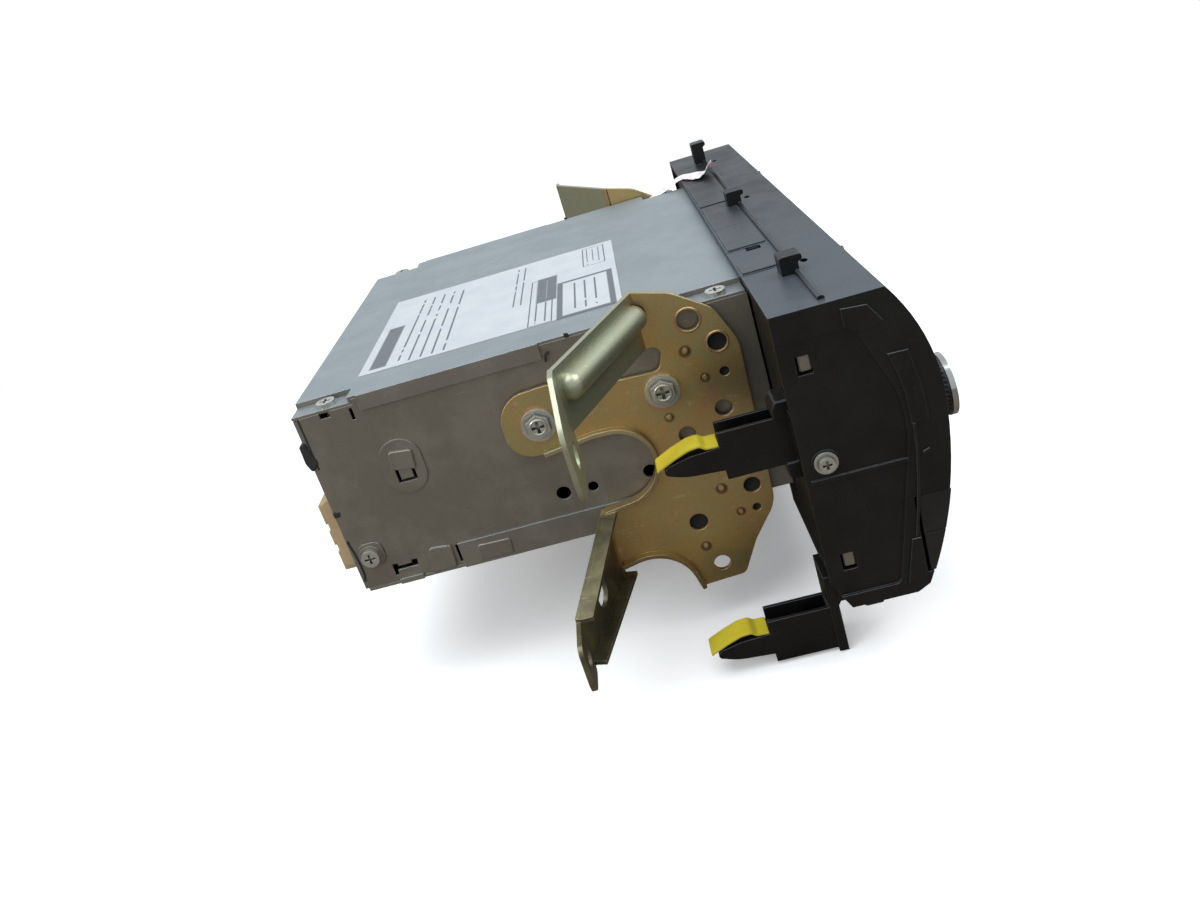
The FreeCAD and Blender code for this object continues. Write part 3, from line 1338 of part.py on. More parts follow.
def faceBand(low, top, outerInset, innerInset):
    """A closed strip of the curved face between two levels and two insets."""
    low = float(low)
    top = float(top)
    outerRun = faceRun(low, top, float(outerInset))
    innerRun = faceRun(low, top, float(innerInset))
    def point(up, inset):
        return V(faceY(up, float(inset)), up, 0)
    return outerRun + innerRun + [Part.LineSegment(point(low, outerInset), point(low, innerInset)),
                                  Part.LineSegment(point(top, outerInset), point(top, innerInset))]


def facePlate(name, left, right, low, top, outerInset, innerInset):
    body = newBody(name)
    add(body, "YZ", left, right, edgesOf(faceBand(low, top, outerInset, innerInset)))
    return body


def faceBlock(name, left, right, low, top, proud, back):
    """A block with the face's curve in front and a flat back."""
    body = newBody(name)
    lowEnd = float(low)
    topEnd = float(top)
    corners = [V(faceY(topEnd, -float(proud)), topEnd, 0), V(float(back), topEnd, 0),
               V(float(back), lowEnd, 0), V(faceY(lowEnd, -float(proud)), lowEnd, 0)]
    edges = faceRun(lowEnd, topEnd, -float(proud))
    edges += [Part.LineSegment(first, second) for first, second in zip(corners, corners[1:])]
    add(body, "YZ", left, right, edgesOf(edges))
    return body


hollowHalf = dim.bezelHalf - dim.bezelWall


def makeBezel():
    bezel = newBody("FrontBezel")
    wall = float(dim.bezelWall)
    top = float(dim.bezelTop)
    low = float(dim.faceEndLow)
    rear = float(dim.bezelRear)
    bottom = float(dim.bezelBottom)
    corners = [V(faceY(top), top, 0), V(rear, top, 0), V(rear, dim.rearCornerZ, 0), V(dim.rearCornerY, bottom, 0),
               V(faceY(low) + 4, bottom, 0), V(faceY(low), low, 0)]
    shell = faceRun(low, top, 0)
    shell += [Part.LineSegment(first, second) for first, second in zip(corners, corners[1:])]
    add(bezel, "YZ", -dim.bezelHalf, dim.bezelHalf, edgesOf(shell))
    innerTop = top - wall
    innerLow = bottom + wall
    cornersIn = [V(faceY(innerTop, wall), innerTop, 0), V(rear + 2, innerTop, 0), V(rear + 2, innerLow, 0),
                 V(faceY(innerLow, wall), innerLow, 0)]
    hollow = faceRun(innerLow, innerTop, wall)
    hollow += [Part.LineSegment(first, second) for first, second in zip(cornersIn, cornersIn[1:])]
    remove(bezel, "YZ", -hollowHalf, hollowHalf, edgesOf(hollow))
    for sideLow, sideHigh in bothSides(dim.backPlateIn, hollowHalf + 0.2):
        add(bezel, "XZ", -dim.backPlateGap - dim.backPlateWall, -dim.backPlateGap,
            rectangle(sideLow, sideHigh, dim.bezelBottom + dim.bezelWall - 0.2, dim.bezelTop - dim.bezelWall + 0.2))
    remove(bezel, "XZ", dim.crestY - 3, dim.crestY + 12,
           rectangle(-dim.faceHalf, dim.faceHalf, dim.faceLow, dim.faceTop))
    gap = dim.buttonGap
    for sideLow, sideHigh in bothSides(dim.sideKeyIn - gap, dim.bezelHalf + 2):
        remove(bezel, "XZ", dim.crestY - 3, dim.sideKeyBack,
               rectangle(sideLow, sideHigh, dim.sideKeyLow - gap, dim.sideKeyTop + gap))
    for side in (-1, 1):
        for up in (dim.postLow, dim.postTop):
            start = faceY(float(up)) + 1
            add(bezel, "XZ", start, 0, circle(side * dim.postX, up, dim.postRadius))
            remove(bezel, "XZ", -14, 1, circle(side * dim.postX, up, dim.postPilot))
    addTopDetails(bezel)
    addSideDetails(bezel)
    for side in (-1, 1):
        for base in (dim.towerUpper, dim.towerLower):
            addTower(bezel, side, base)
    node(bezel, "front_bezel")


def addTopDetails(bezel):
    top = dim.bezelTop
    under = top - dim.bezelWall / 2
    remove(bezel, "XY", top - dim.grooveDeep, top + 1,
           *[rectangle(middle - dim.grooveWidth / 2, middle + dim.grooveWidth / 2, dim.grooveFront, dim.bezelRear + 1)
             for middle in (-93, -63, 11, 104)])
    remove(bezel, "XY", top - dim.bezelWall - 1, top + 1, rectangle(-67.4, -63.4, -10.6, -5.4),
           *[outline([(middle - 3.2, -19, 0.8), (middle, -20.4, 1.5), (middle + 3.2, -19, 0.8),
                      (middle, -17.6, 1.5)]) for middle in (-94, 9, 103)])
    add(bezel, "YZ", dim.beadStart, dim.beadEnd, circle(dim.railBeadY, top + 0.3, dim.beadRadius))
    hooks = ((dim.hookLeft, dim.hookTop), (dim.hookMiddle, dim.hookTop), (dim.hookRight, dim.tallHookTop))
    for middle, tip in hooks:
        add(bezel, "YZ", middle - dim.hookHalf, middle + dim.hookHalf, outline([
            (dim.hookRear, under, 0), (dim.hookRear, tip, 0.8), (dim.hookFront - dim.hookLip, tip, 0.8),
            (dim.hookFront - dim.hookLip, tip - 1.8, 0.5), (dim.hookFront, tip - 2.6, 0.4),
            (dim.hookFront, under, 0)]))


def addSideDetails(bezel):
    deep = dim.sidePanelDeep
    field = [(2, 70, 0), (-21, 70, 4), (-30.6, 45, 30), (-30.4, 31, 30), (-20, -17, 2), (2, -17, 0)]
    for low, high in bothSides(dim.bezelHalf - deep, dim.bezelHalf + 1):
        remove(bezel, "YZ", low, high, outline(field))
    for low, high in bothSides(dim.bezelHalf - deep - 0.2, dim.bezelHalf - deep + 0.6):
        add(bezel, "YZ", low, high, rectangle(-29, -0.5, dim.sideRibZ - dim.sideRibTall, dim.sideRibZ))
    wide = dim.sideWindowWide / 2
    tall = dim.sideWindowTall / 2
    for low, high in bothSides(dim.bezelHalf - dim.bezelWall - 1, dim.bezelHalf + 1):
        remove(bezel, "YZ", low, high,
               *[rectangle(dim.sideWindowY - wide, dim.sideWindowY + wide, middle - tall, middle + tall)
                 for middle in (dim.sideWindowUpper, dim.sideWindowLower)],
               circle(dim.sideFixY, dim.sideFixZ, dim.screwShank + dim.screwGap))


def addTower(bezel, side, base):
    """One clip tower: a footplate, an open channel and the tongue that carries the spring clip."""
    if float(base) > 0:
        add(bezel, "XZ", -dim.towerFoot, 0.5,
            rectangle(*outward(side, dim.footInner, hollowHalf + 0.5), base - 2, base + dim.towerTall + 2))
    else:
        add(bezel, "XZ", -1.2, dim.towerFoot - 0.6,
            rectangle(*outward(side, dim.footInner, dim.towerOut + 1), base - 1, dim.bezelBottom + 6))
        add(bezel, "YZ", *outward(side, dim.towerIn + 3, dim.towerIn + 5),
            outline([(0, dim.bezelBottom + 1, 0), (-8, dim.bezelBottom + 1, 0), (0, -34, 0)]))
    add(bezel, "XY", base, base + dim.towerTall, rectangle(*outward(side, dim.towerIn, dim.towerOut), 0, dim.towerReach))
    wall = dim.towerWall
    remove(bezel, "XY", base + dim.tongueLow, base + dim.towerTall + 1,
           rectangle(*outward(side, dim.towerIn + wall, dim.towerOut - wall), wall * 2, dim.towerReach + 1))
    add(bezel, "YZ", *outward(side, dim.towerIn, dim.towerOut), outline([
        (dim.towerReach - 1, base + dim.tongueLow - 0.8, 0), (35, base + dim.tongueLow + 0.3, 20),
        (dim.tongueReach, base + dim.tongueLow + 3, 1.2), (dim.tongueReach - 2.6, base + dim.tongueTop - 2.1, 1.4),
        (32, base + dim.tongueTop - 0.5, 12), (dim.towerReach - 1, base + dim.tongueTop, 0)]))


def makeSpringClips():
    clips = []
    thick = float(dim.clipSheet)
    rise = dim.clipRise
    for side in (-1, 1):
        for base in (dim.towerUpper, dim.towerLower):
            clip = newBody("SpringClip")
            low = base + dim.tongueTop
            end = dim.tongueReach
            path = [(dim.towerReach + 0.3, low + 0.1), (26.8, low + 0.2, 2), (28.6, low + rise, 1.6),
                    (32, low + rise * 0.8, 6), (37, low - 0.6, 8), (end + 0.4, low - 3, 1.4),
                    (end + 0.8, base + dim.tongueLow + 4)]
            add(clip, "YZ", *outward(side, dim.towerIn + 0.2, dim.towerOut - 0.2), outline(bandAlong(path, thick)))
            clips.append(clip)
    node(group("SpringClips", clips), "bezel_spring_clips")


def makeBezelScrews():
    screws = []
    for side in (-1, 1):
        for up in (dim.postLow, dim.postTop):
            screws.append(screwAt("PostScrew", "Y", (side * dim.postX, up), dim.frameSheet, 1, dim.screwHead * 0.8,
                                  dim.screwHeadTall, dim.screwShank, 10))
        face = side * (dim.bezelHalf - dim.sidePanelDeep)
        washer = rod("SideWasher", "X", (dim.sideFixY, dim.sideFixZ), *spanFrom(face, side, 0.6), dim.sideWasher)
        screw = screwAt("SideFix", "X", (dim.sideFixY, dim.sideFixZ), face + side * 0.6, side,
                        dim.screwHead * 0.7, dim.screwHeadTall, dim.screwShank, 4)
        screws.append(fuse("SideFixWhole", [washer, screw]))
    node(group("BezelScrews", screws), "bezel_screws")


# Face panel, display, board behind it

def presetCentre(index):
    return (index - (dim.presetCount - 1) / 2) * dim.presetPitch


def makeFacePanel():
    gap = dim.faceGap
    panel = facePlate("FacePanel", -dim.faceHalf + gap, dim.faceHalf - gap, dim.faceLow + gap, dim.faceTop - gap,
                      -dim.faceProud, dim.faceWall - dim.faceProud)
    front = dim.crestY - 3
    back = dim.crestY + 12
    chute = dim.slotHalf + dim.chuteWall
    add(panel, "XZ", dim.crestY + 2.4, dim.chuteRear,
        rectangle(-chute, chute, dim.slotLow - dim.chuteWall, dim.slotTop + dim.chuteWall))
    holes = [rectangle(-dim.lensHalf, dim.lensHalf, dim.lensLow, dim.lensTop),
             rectangle(dim.ejectLeft, dim.ejectLeft + dim.ejectWidth, dim.ejectLow, dim.ejectTop)]
    for index in range(int(float(dim.presetCount))):
        middle = presetCentre(index)
        holes.append(rectangle(middle - dim.presetWidth / 2, middle + dim.presetWidth / 2,
                               dim.presetLow, dim.presetTop))
    holes += [circle(side * dim.knobX, dim.knobZ, dim.shaftHole) for side in (-1, 1)]
    remove(panel, "XZ", front, back, *holes)
    remove(panel, "XZ", front, dim.chuteRear + 1,
           rectangle(-dim.slotHalf, dim.slotHalf, dim.slotLow, dim.slotTop))
    for side in (-1, 1):
        for across, up in ((70, 48), (88, 19)):
            add(panel, "XZ", faceY(up) + 1.2, dim.frontBoardY, circle(side * across, up, dim.spacerRadius))
    node(panel, "face_panel")


def switchPlaces():
    """The X and Z of each push switch on the front board."""
    places = [(presetCentre(index), (dim.presetLow + dim.presetTop) / 2)
              for index in range(int(float(dim.presetCount)))]
    places.append((dim.ejectLeft + dim.ejectWidth / 2, (dim.ejectLow + dim.ejectTop) / 2))
    sideMiddle = (dim.sideKeyIn + dim.sideKeyOut) / 2
    for side in (-1, 1):
        places.append((side * sideMiddle, (dim.sideKeySplit + dim.sideKeyTop) / 2))
        places.append((side * sideMiddle, (dim.sideKeySplit + dim.sideKeyLow) / 2))
    return places


def makeFrontBoard():
    board = newBody("FrontBoard")
    rear = dim.frontBoardY + dim.frontBoardSheet
    add(board, "XZ", dim.frontBoardY, rear,
        rectangle(-dim.frontBoardHalf, dim.frontBoardHalf, dim.frontBoardLow, dim.frontBoardTop))
    remove(board, "XZ", dim.frontBoardY - 1, rear + 1,
           rectangle(-dim.notchHalf, dim.notchHalf, dim.notchLow, dim.frontBoardTop + 1),
           *[circle(side * dim.postX, up, dim.postRadius + 0.5) for side in (-1, 1)
             for up in (dim.postLow, dim.postTop)])
    switches = [block("PushSwitch", (across - dim.switchHalf, across + dim.switchHalf),
                      (dim.frontBoardY - dim.switchTall, dim.frontBoardY), (up - dim.switchHalf, up + dim.switchHalf))
                for across, up in switchPlaces()]
    node(fuse("FrontBoardWhole", [board] + switches), "front_board")
    window = facePlate("DisplayLens", -dim.lensHalf + dim.lensGap, dim.lensHalf - dim.lensGap,
                       dim.lensLow + dim.lensGap, dim.lensTop - dim.lensGap,
                       -dim.faceProud - dim.lensProud, dim.lensWall - dim.faceProud - dim.lensProud)
    node(window, "display_lens")
    node(block("DisplayModule", (-dim.displayHalf, dim.displayHalf),
               (dim.frontBoardY - dim.displayDeep, dim.frontBoardY), (dim.displayLow, dim.displayTop)),
         "display_module")


def makeButtons():
    plungerEnd = dim.frontBoardY - dim.switchTall - dim.buttonTravel - dim.switchGap
    gap = dim.buttonGap

    def faceButton(label, left, right, low, top):
        cap = faceBlock("Cap", left + gap, right - gap, low + gap, top - gap,
                        dim.faceProud + dim.buttonProud, dim.buttonFlangeY + dim.buttonFlangeThick)
        middle = (left + right) / 2
        level = (low + top) / 2
        flange = block("Flange", (left - dim.buttonFlange, right + dim.buttonFlange),
                       (dim.buttonFlangeY, dim.buttonFlangeY + dim.buttonFlangeThick),
                       (low - dim.buttonFlange, top + dim.buttonFlange))
        stem = block("Stem", (middle - dim.buttonStem, middle + dim.buttonStem),
                     (dim.buttonFlangeY, plungerEnd), (level - dim.buttonStem, level + dim.buttonStem))
        node(fuse("Button", [cap, flange, stem]), label)

    for index in range(int(float(dim.presetCount))):
        middle = presetCentre(index)
        faceButton(f"preset_button_{index + 1}", middle - dim.presetWidth / 2, middle + dim.presetWidth / 2,
                   dim.presetLow, dim.presetTop)
    ejectFlange = -34.6
    cap = faceBlock("EjectCap", dim.ejectLeft + gap, dim.ejectLeft + dim.ejectWidth - gap, dim.ejectLow + gap,
                    dim.ejectTop - gap, dim.faceProud + dim.buttonProud, ejectFlange + dim.buttonFlangeThick)
    middle = dim.ejectLeft + dim.ejectWidth / 2
    level = (dim.ejectLow + dim.ejectTop) / 2
    flange = block("EjectFlange", (dim.ejectLeft - dim.buttonFlange, dim.ejectLeft + dim.ejectWidth + dim.buttonFlange),
                   (ejectFlange, ejectFlange + dim.buttonFlangeThick),
                   (dim.ejectLow - dim.buttonFlange, dim.ejectTop + 0.6))
    stem = block("EjectStem", (middle - dim.buttonStem, middle + dim.buttonStem), (ejectFlange, plungerEnd),
                 (level - dim.buttonStem, level + dim.buttonStem))
    node(fuse("EjectButton", [cap, flange, stem]), "eject_button")
    for side, sideName in ((-1, "left"), (1, "right")):
        for low, top, levelName in ((dim.sideKeySplit + gap / 2, dim.sideKeyTop, "upper"),
                                    (dim.sideKeyLow, dim.sideKeySplit - gap / 2, "lower")):
            level = (low + top) / 2
            keyRear = dim.sideKeyBack - dim.buttonTravel - gap
            catchFront = faceY(float(level) - float(dim.buttonStem), float(dim.bezelWall)) + gap
            key = faceBlock("SideKey", *outward(side, dim.sideKeyIn, dim.sideKeyOut), low, top, 0.4, keyRear)
            middle = side * (dim.sideKeyIn + dim.sideKeyOut) / 2
            stem = block("SideStem", (middle - dim.buttonStem, middle + dim.buttonStem),
                         (keyRear - 0.5, plungerEnd), (level - dim.buttonStem, level + dim.buttonStem))
            catch = block("SideCatch", outward(side, dim.sideKeyIn - dim.sideKeyCatch, dim.sideKeyIn + 2),
                          (catchFront, catchFront + dim.sideKeyCatchThick),
                          (level - dim.buttonStem, level + dim.buttonStem))
            node(fuse("SideButton", [key, catch, stem]), f"{sideName}_{levelName}_button")


def makeKnobs():
    encoders = []
    for side, sideName in ((-1, "volume"), (1, "tune")):
        centre = (side * dim.knobX, dim.knobZ)
        ringLow = dim.knobFront
        ringHigh = dim.knobFront + dim.knobRing
        body = rod("KnobBody", "Y", centre, ringHigh, dim.knobBack, dim.knobRadius)
        crown = rod("KnobCrown", "Y", centre, ringLow + dim.knobDish / 2, ringHigh, dim.knobRadius - 1.4)
        flutes = []
        count = int(float(dim.knobFlutes))
        for index in range(count):
            angle = 2 * math.pi * index / count
            flutes.append(rod("Flute", "Y", (centre[0] + dim.knobRadius * math.cos(angle),
                                             centre[1] + dim.knobRadius * math.sin(angle)),
                              ringHigh + 0.8, dim.knobBack + 1, dim.fluteRadius))
        flutes.append(rod("KnobDish", "Y", centre, ringLow - 1, ringLow + dim.knobDish, dim.knobDishRadius))
        shaftBore = dim.encoderShaft + 0.02
        flutes.append(rod("KnobBore", "Y", centre, dim.encoderShaftFront, dim.knobBack + 1, shaftBore))
        node(cut(sideName.title() + "Knob", fuse("KnobWhole", [body, crown]), flutes), sideName + "_knob")
        ring = rod("RingOuter", "Y", centre, ringLow, ringHigh, dim.knobRadius + 0.2)
        hole = rod("RingHole", "Y", centre, ringLow - 1, ringHigh + 1, dim.knobRadius - 1.4)
        node(cut(sideName.title() + "Ring", ring, [hole]), sideName + "_knob_ring")
        bushRear = dim.frontBoardY - dim.encoderTall
        node(rod(sideName.title() + "Shaft", "Y", centre, dim.encoderShaftFront, bushRear, dim.encoderShaft),
             sideName + "_shaft")
        across, up = centre
        can = block("EncoderCan", (across - dim.encoderSide, across + dim.encoderSide), (bushRear, dim.frontBoardY),
                    (up - dim.encoderSide, up + dim.encoderSide))
        bush = rod("EncoderBush", "Y", centre, dim.bushFront, bushRear, dim.bushRadius)
        bore = rod("EncoderBore", "Y", centre, dim.bushFront - 1, bushRear, dim.encoderShaft + dim.runningGap)
        encoders.append(fuse("Encoder", [can, cut("EncoderNose", bush, [bore])]))
    node(group("RotaryEncoders", encoders), "rotary_encoders")


# Papers

def makePapers():
    node(block("RatingLabel", (dim.labelLeft, dim.labelRight), (dim.labelFront, dim.labelRear),
               (coverTop, coverTop + dim.labelThick)), "rating_label")
    tape = newBody("SealTape")
    lying = dim.bezelTop + dim.tapeThick
    edge = dim.tapeRight
    inner = dim.tapeRight - dim.tapeWidth
    add(tape, "XY", dim.bezelTop, lying, outline([
        (dim.tapeLeft, -0.6, 0), (dim.tapeLeft, -11.5, 1), (edge - 8, -13.2, 1), (edge, 1.2, 0), (inner, 1.2, 0)]))
    floor = recessFloor + dim.coverSheet
    add(tape, "YZ", inner, edge, outline([
        (0.8, dim.bezelTop, 0), (0.8, lying, 0), (1.2, lying, 0), (dim.tapeRear - 1, floor + dim.tapeThick, 0),
        (dim.tapeRear, floor + dim.tapeThick, 0), (dim.tapeRear, floor, 0), (dim.tapeRear - 1, floor, 0),
        (1.2, dim.bezelTop, 0)]))
    node(tape, "seal_tape")


makeChassisFrame()
makeTopCover()
makeBottomCover()
makeRearPanel()
makeCaseScrews()
leftBracket = makeLeftBracket()
node(mirrored("RightBracket", leftBracket), "right_bracket", moved=True)
makeBracketBolts()
makeMainConnector()
makeHeatSink()
makeTunerAndAntenna()
makeBoardParts()
makeDeckBase()
makeDiscGuide()
makeSpindle()
makeClamp()
makePickup()
makeLoading()
makeBezel()
makeSpringClips()
makeBezelScrews()
makeFacePanel()
makeFrontBoard()
makeButtons()
makeKnobs()
makePapers()
doc.recompute()

# Every object must have come out right before anything is written.
for item in doc.Objects:
    if "Invalid" in item.State or "Error" in item.State:
        raise RuntimeError(f"{item.Name} ({item.Label}) failed: {item.State}")
os.makedirs("parts", exist_ok=True)
for piece in nodes:
    if piece.Shape.isNull() or not piece.Shape.isValid():
        raise RuntimeError(f"{piece.Label} has no valid shape")
    piece.Shape.exportStep(f"parts/{piece.Label}.step")
print(len(nodes), "nodes written")
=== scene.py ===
import bpy
import bmesh
import math
from mathutils import Matrix, Vector
from mathutils.bvhtree import BVHTree


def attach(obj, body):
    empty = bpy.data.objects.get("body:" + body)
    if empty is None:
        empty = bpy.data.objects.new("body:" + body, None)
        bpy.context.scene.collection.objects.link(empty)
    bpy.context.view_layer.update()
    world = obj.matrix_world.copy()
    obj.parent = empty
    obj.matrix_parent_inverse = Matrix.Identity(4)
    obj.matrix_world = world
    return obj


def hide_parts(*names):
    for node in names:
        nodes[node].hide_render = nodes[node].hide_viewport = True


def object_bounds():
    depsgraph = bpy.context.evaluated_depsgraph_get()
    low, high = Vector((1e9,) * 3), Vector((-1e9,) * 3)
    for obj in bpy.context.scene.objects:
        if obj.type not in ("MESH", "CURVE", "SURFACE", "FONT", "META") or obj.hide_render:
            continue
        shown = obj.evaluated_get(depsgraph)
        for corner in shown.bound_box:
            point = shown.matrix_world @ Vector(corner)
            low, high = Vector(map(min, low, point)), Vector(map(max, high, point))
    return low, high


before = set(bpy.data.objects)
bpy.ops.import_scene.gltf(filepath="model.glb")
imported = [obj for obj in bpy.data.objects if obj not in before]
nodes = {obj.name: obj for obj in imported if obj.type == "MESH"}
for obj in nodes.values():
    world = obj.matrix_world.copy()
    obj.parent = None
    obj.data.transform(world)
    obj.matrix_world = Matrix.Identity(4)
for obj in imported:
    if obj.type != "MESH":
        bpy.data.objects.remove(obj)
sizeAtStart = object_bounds()
print("frame loaded")

milli = 0.001
origin = Vector((0, 63.5, 60))  # drawing point, in mm, that is the frame's origin
bumpDepth = 0.05  # mm
bevelSamples, hollowSamples = 4, 6
plateReach, earReach = 0.0923, 0.0955  # metres from the middle plane: the plates end, the ears begin
lowerEar, upperEar = -0.04, -0.02  # heights in metres between which the lower ears' painted shade meets the upper ears' tone
topBelow, topAbove = (0.0166, 0.0176), (0.0206, 0.0198)  # heights in metres round the bezel's top face
sheenRight, sheenLeft = 0.06, -0.13  # x in metres between which the painted sheen on the bezel's top grows


def at(x, y, z):  # a drawing point in mm, as a place in the frame in metres
    return (Vector((x, y, z)) - origin) * milli


def colour(code):  # display colour in hex to a linear colour
    parts = [int(code[i:i + 2], 16) / 255 for i in (0, 2, 4)]
    return [p / 12.92 if p < 0.04045 else ((p + 0.055) / 1.055) ** 2.4 for p in parts] + [1]


class Value:  # one socket of a material, with the usual arithmetic
    def __init__(self, paint, socket):
        self.paint = paint
        self.socket = socket

    def math(self, operation, *others):
        return self.paint.node("ShaderNodeMath", {"operation": operation}, [self, *others])

    def __add__(self, other):
        return self.math("ADD", other)

    def __sub__(self, other):
        return self.math("SUBTRACT", other)

    def __rsub__(self, other):
        return self.paint.node("ShaderNodeMath", {"operation": "SUBTRACT"}, [other, self])

    def __mul__(self, other):
        return self.math("MULTIPLY", other)

    def __truediv__(self, other):
        return self.math("DIVIDE", other)

    __radd__ = __add__
    __rmul__ = __mul__

    def ramp(self, low, high):  # 0 below low, 1 above high, smooth between
        settings = {"interpolation_type": "SMOOTHSTEP"}
        if low < high:
            return self.paint.node("ShaderNodeMapRange", settings, [self, low, high, 0, 1])
        return self.paint.node("ShaderNodeMapRange", settings, [self, high, low, 1, 0])

    def largest(self, other):
        return self.math("MAXIMUM", other)


class Paint:  # one material and the nodes that make its pattern
    def __init__(self, name):
        self.material = bpy.data.materials.new(name)
        self.material.use_nodes = True
        self.tree = self.material.node_tree
        self.shader = self.tree.nodes["Principled BSDF"]
        self.place = self.node("ShaderNodeTexCoord", {}, [], "Object")

    def node(self, kind, settings=None, inputs=(), output=0):
        made = self.tree.nodes.new(kind)
        for key, value in (settings or {}).items():
            setattr(made, key, value)
        pairs = inputs.items() if isinstance(inputs, dict) else enumerate(inputs)
        for key, value in pairs:
            if isinstance(value, Value):
                self.tree.links.new(value.socket, made.inputs[key])
            elif value is not None:
                made.inputs[key].default_value = value
        return Value(self, made.outputs[output])

    def scaled(self, stretch, shift=(0, 0, 0)):
        moved = self.node("ShaderNodeVectorMath", {"operation": "MULTIPLY"}, [self.place, stretch])
        return self.node("ShaderNodeVectorMath", {"operation": "ADD"}, [moved, shift])

    def noise(self, size, detail=2, rough=0.5, stretch=(1, 1, 1), shift=(0, 0, 0)):  # size in mm
        place = self.scaled(stretch, shift)
        facts = {"Vector": place, "Scale": 1 / (size * milli), "Detail": detail, "Roughness": rough}
        return self.node("ShaderNodeTexNoise", {}, facts)

    def cells(self, size, feature="F1"):
        facts = {"Vector": self.place, "Scale": 1 / (size * milli)}
        return self.node("ShaderNodeTexVoronoi", {"feature": feature}, facts, "Distance")

    def axis(self, name, source=None):
        return self.node("ShaderNodeSeparateXYZ", {}, [source or self.place], name)

    def facing(self, name):
        normal = self.node("ShaderNodeNewGeometry", {}, [], "True Normal")
        return self.axis(name, normal)

    def distance(self, point, across):  # metres from a drawing point, without the axes whose across is 0
        flat = self.scaled(across)
        centre = Vector([a * b for a, b in zip(at(*point), across)])
        return self.node("ShaderNodeVectorMath", {"operation": "DISTANCE"}, [flat, centre], "Value")

    def mix(self, factor, first, second):
        return self.node("ShaderNodeMix", {"data_type": "RGBA"}, {0: factor, 6: first, 7: second}, 2)

    def edges(self, radius):  # 1 where the surface turns sharply, 0 on flats
        rounded = self.node("ShaderNodeBevel", {"samples": bevelSamples}, [radius * milli])
        plain = self.node("ShaderNodeNewGeometry", {}, [], "True Normal")
        same = self.node("ShaderNodeVectorMath", {"operation": "DOT_PRODUCT"}, [rounded, plain], "Value")
        return (1 - same).ramp(0.06, 0.22), rounded

    def hollowShade(self, reach, start=0.75, full=0.25):  # 1 in recesses, 0 in the open, reach in mm: the mask for painted shade
        settings = {"samples": hollowSamples, "only_local": True}
        near = self.node("ShaderNodeAmbientOcclusion", settings, {"Distance": reach * milli}, "AO")
        return near.ramp(start, full)

    def finish(self, look, base, rough, height, normal, strength):  # the normal can be None
        self.set("Base Color", base)
        self.set("Roughness", rough)
        self.set("Metallic", look.get("metal", 0))
        for socket, value in look.get("shader", {}).items():
            self.set(socket, value)
        facts = {"Strength": strength, "Distance": bumpDepth * milli, "Height": height, "Normal": normal}
        self.set("Normal", self.node("ShaderNodeBump", {}, facts))
        return self.material

    def set(self, socket, value):
        if isinstance(value, Value):
            self.tree.links.new(value.socket, self.shader.inputs[socket])
        else:
            self.shader.inputs[socket].default_value = value


# sheet metal: cloudy tone, fine grain, dark specks, thin scratches, edges partly worn and partly painted
# highlight, painted shade on walls and in recesses
def sheetPaint(name, look):
    paint = Paint(name)
    cloud = paint.noise(22, 4, 0.6)
    grain = paint.noise(0.35, 3, 0.7)
    level = look.get("speckLevel", 0.7)
    specks = paint.noise(0.9, 2, 0.6, shift=(3, 1, 2)).ramp(level, level + 0.05)
    crowd = paint.noise(9, 2).ramp(0.42, 0.62)
    scratch = paint.noise(0.5, 2, 0.6, stretch=look.get("brush", (0.05, 1, 1))).ramp(0.66, 0.74)
    rare = paint.noise(14, 2, shift=(5, 5, 5)).ramp(0.5, 0.64)
    edge, rounded = paint.edges(0.3)
    # painted shade and reflection: faces that don't look up get the darker, warmer wall tone, faces that look
    # up the paler, bluer base
    upward = paint.facing("Z").ramp(0.3, 0.8)
    flat = paint.mix(cloud.ramp(0.3, 0.7), colour(look["base"]), colour(look["tint"]))
    wall = paint.mix(cloud.ramp(0.35, 0.6), colour(look["wall"]), colour(look["wallTint"]))
    tone = paint.mix(upward, wall, flat)
    tone = paint.mix(grain.ramp(0.35, 0.75) * look.get("grain", 0.25), tone, colour(look["dark"]))
    tone = paint.mix(specks * crowd * 0.8, tone, colour(look["dark"]))
    tone = paint.mix(scratch * rare * 0.5, tone, colour(look["edge"]))
    # brighter edges: partly wear, partly a painted highlight
    tone = paint.mix(edge * 0.6, tone, colour(look["edge"]))
    # painted shade in recesses
    tone = paint.mix(paint.hollowShade(1.6) * 0.75, tone, colour("15120f"))
    low, high = look["rough"]
    rough = cloud.ramp(0.25, 0.75) * (high - low) + low + (grain - 0.5) * 0.12 + specks * crowd * 0.2
    height = grain * 0.5 + cloud * 1.5 - scratch * rare - specks * 0.6
    return paint.finish(look, tone, rough, height, rounded, 0.15)
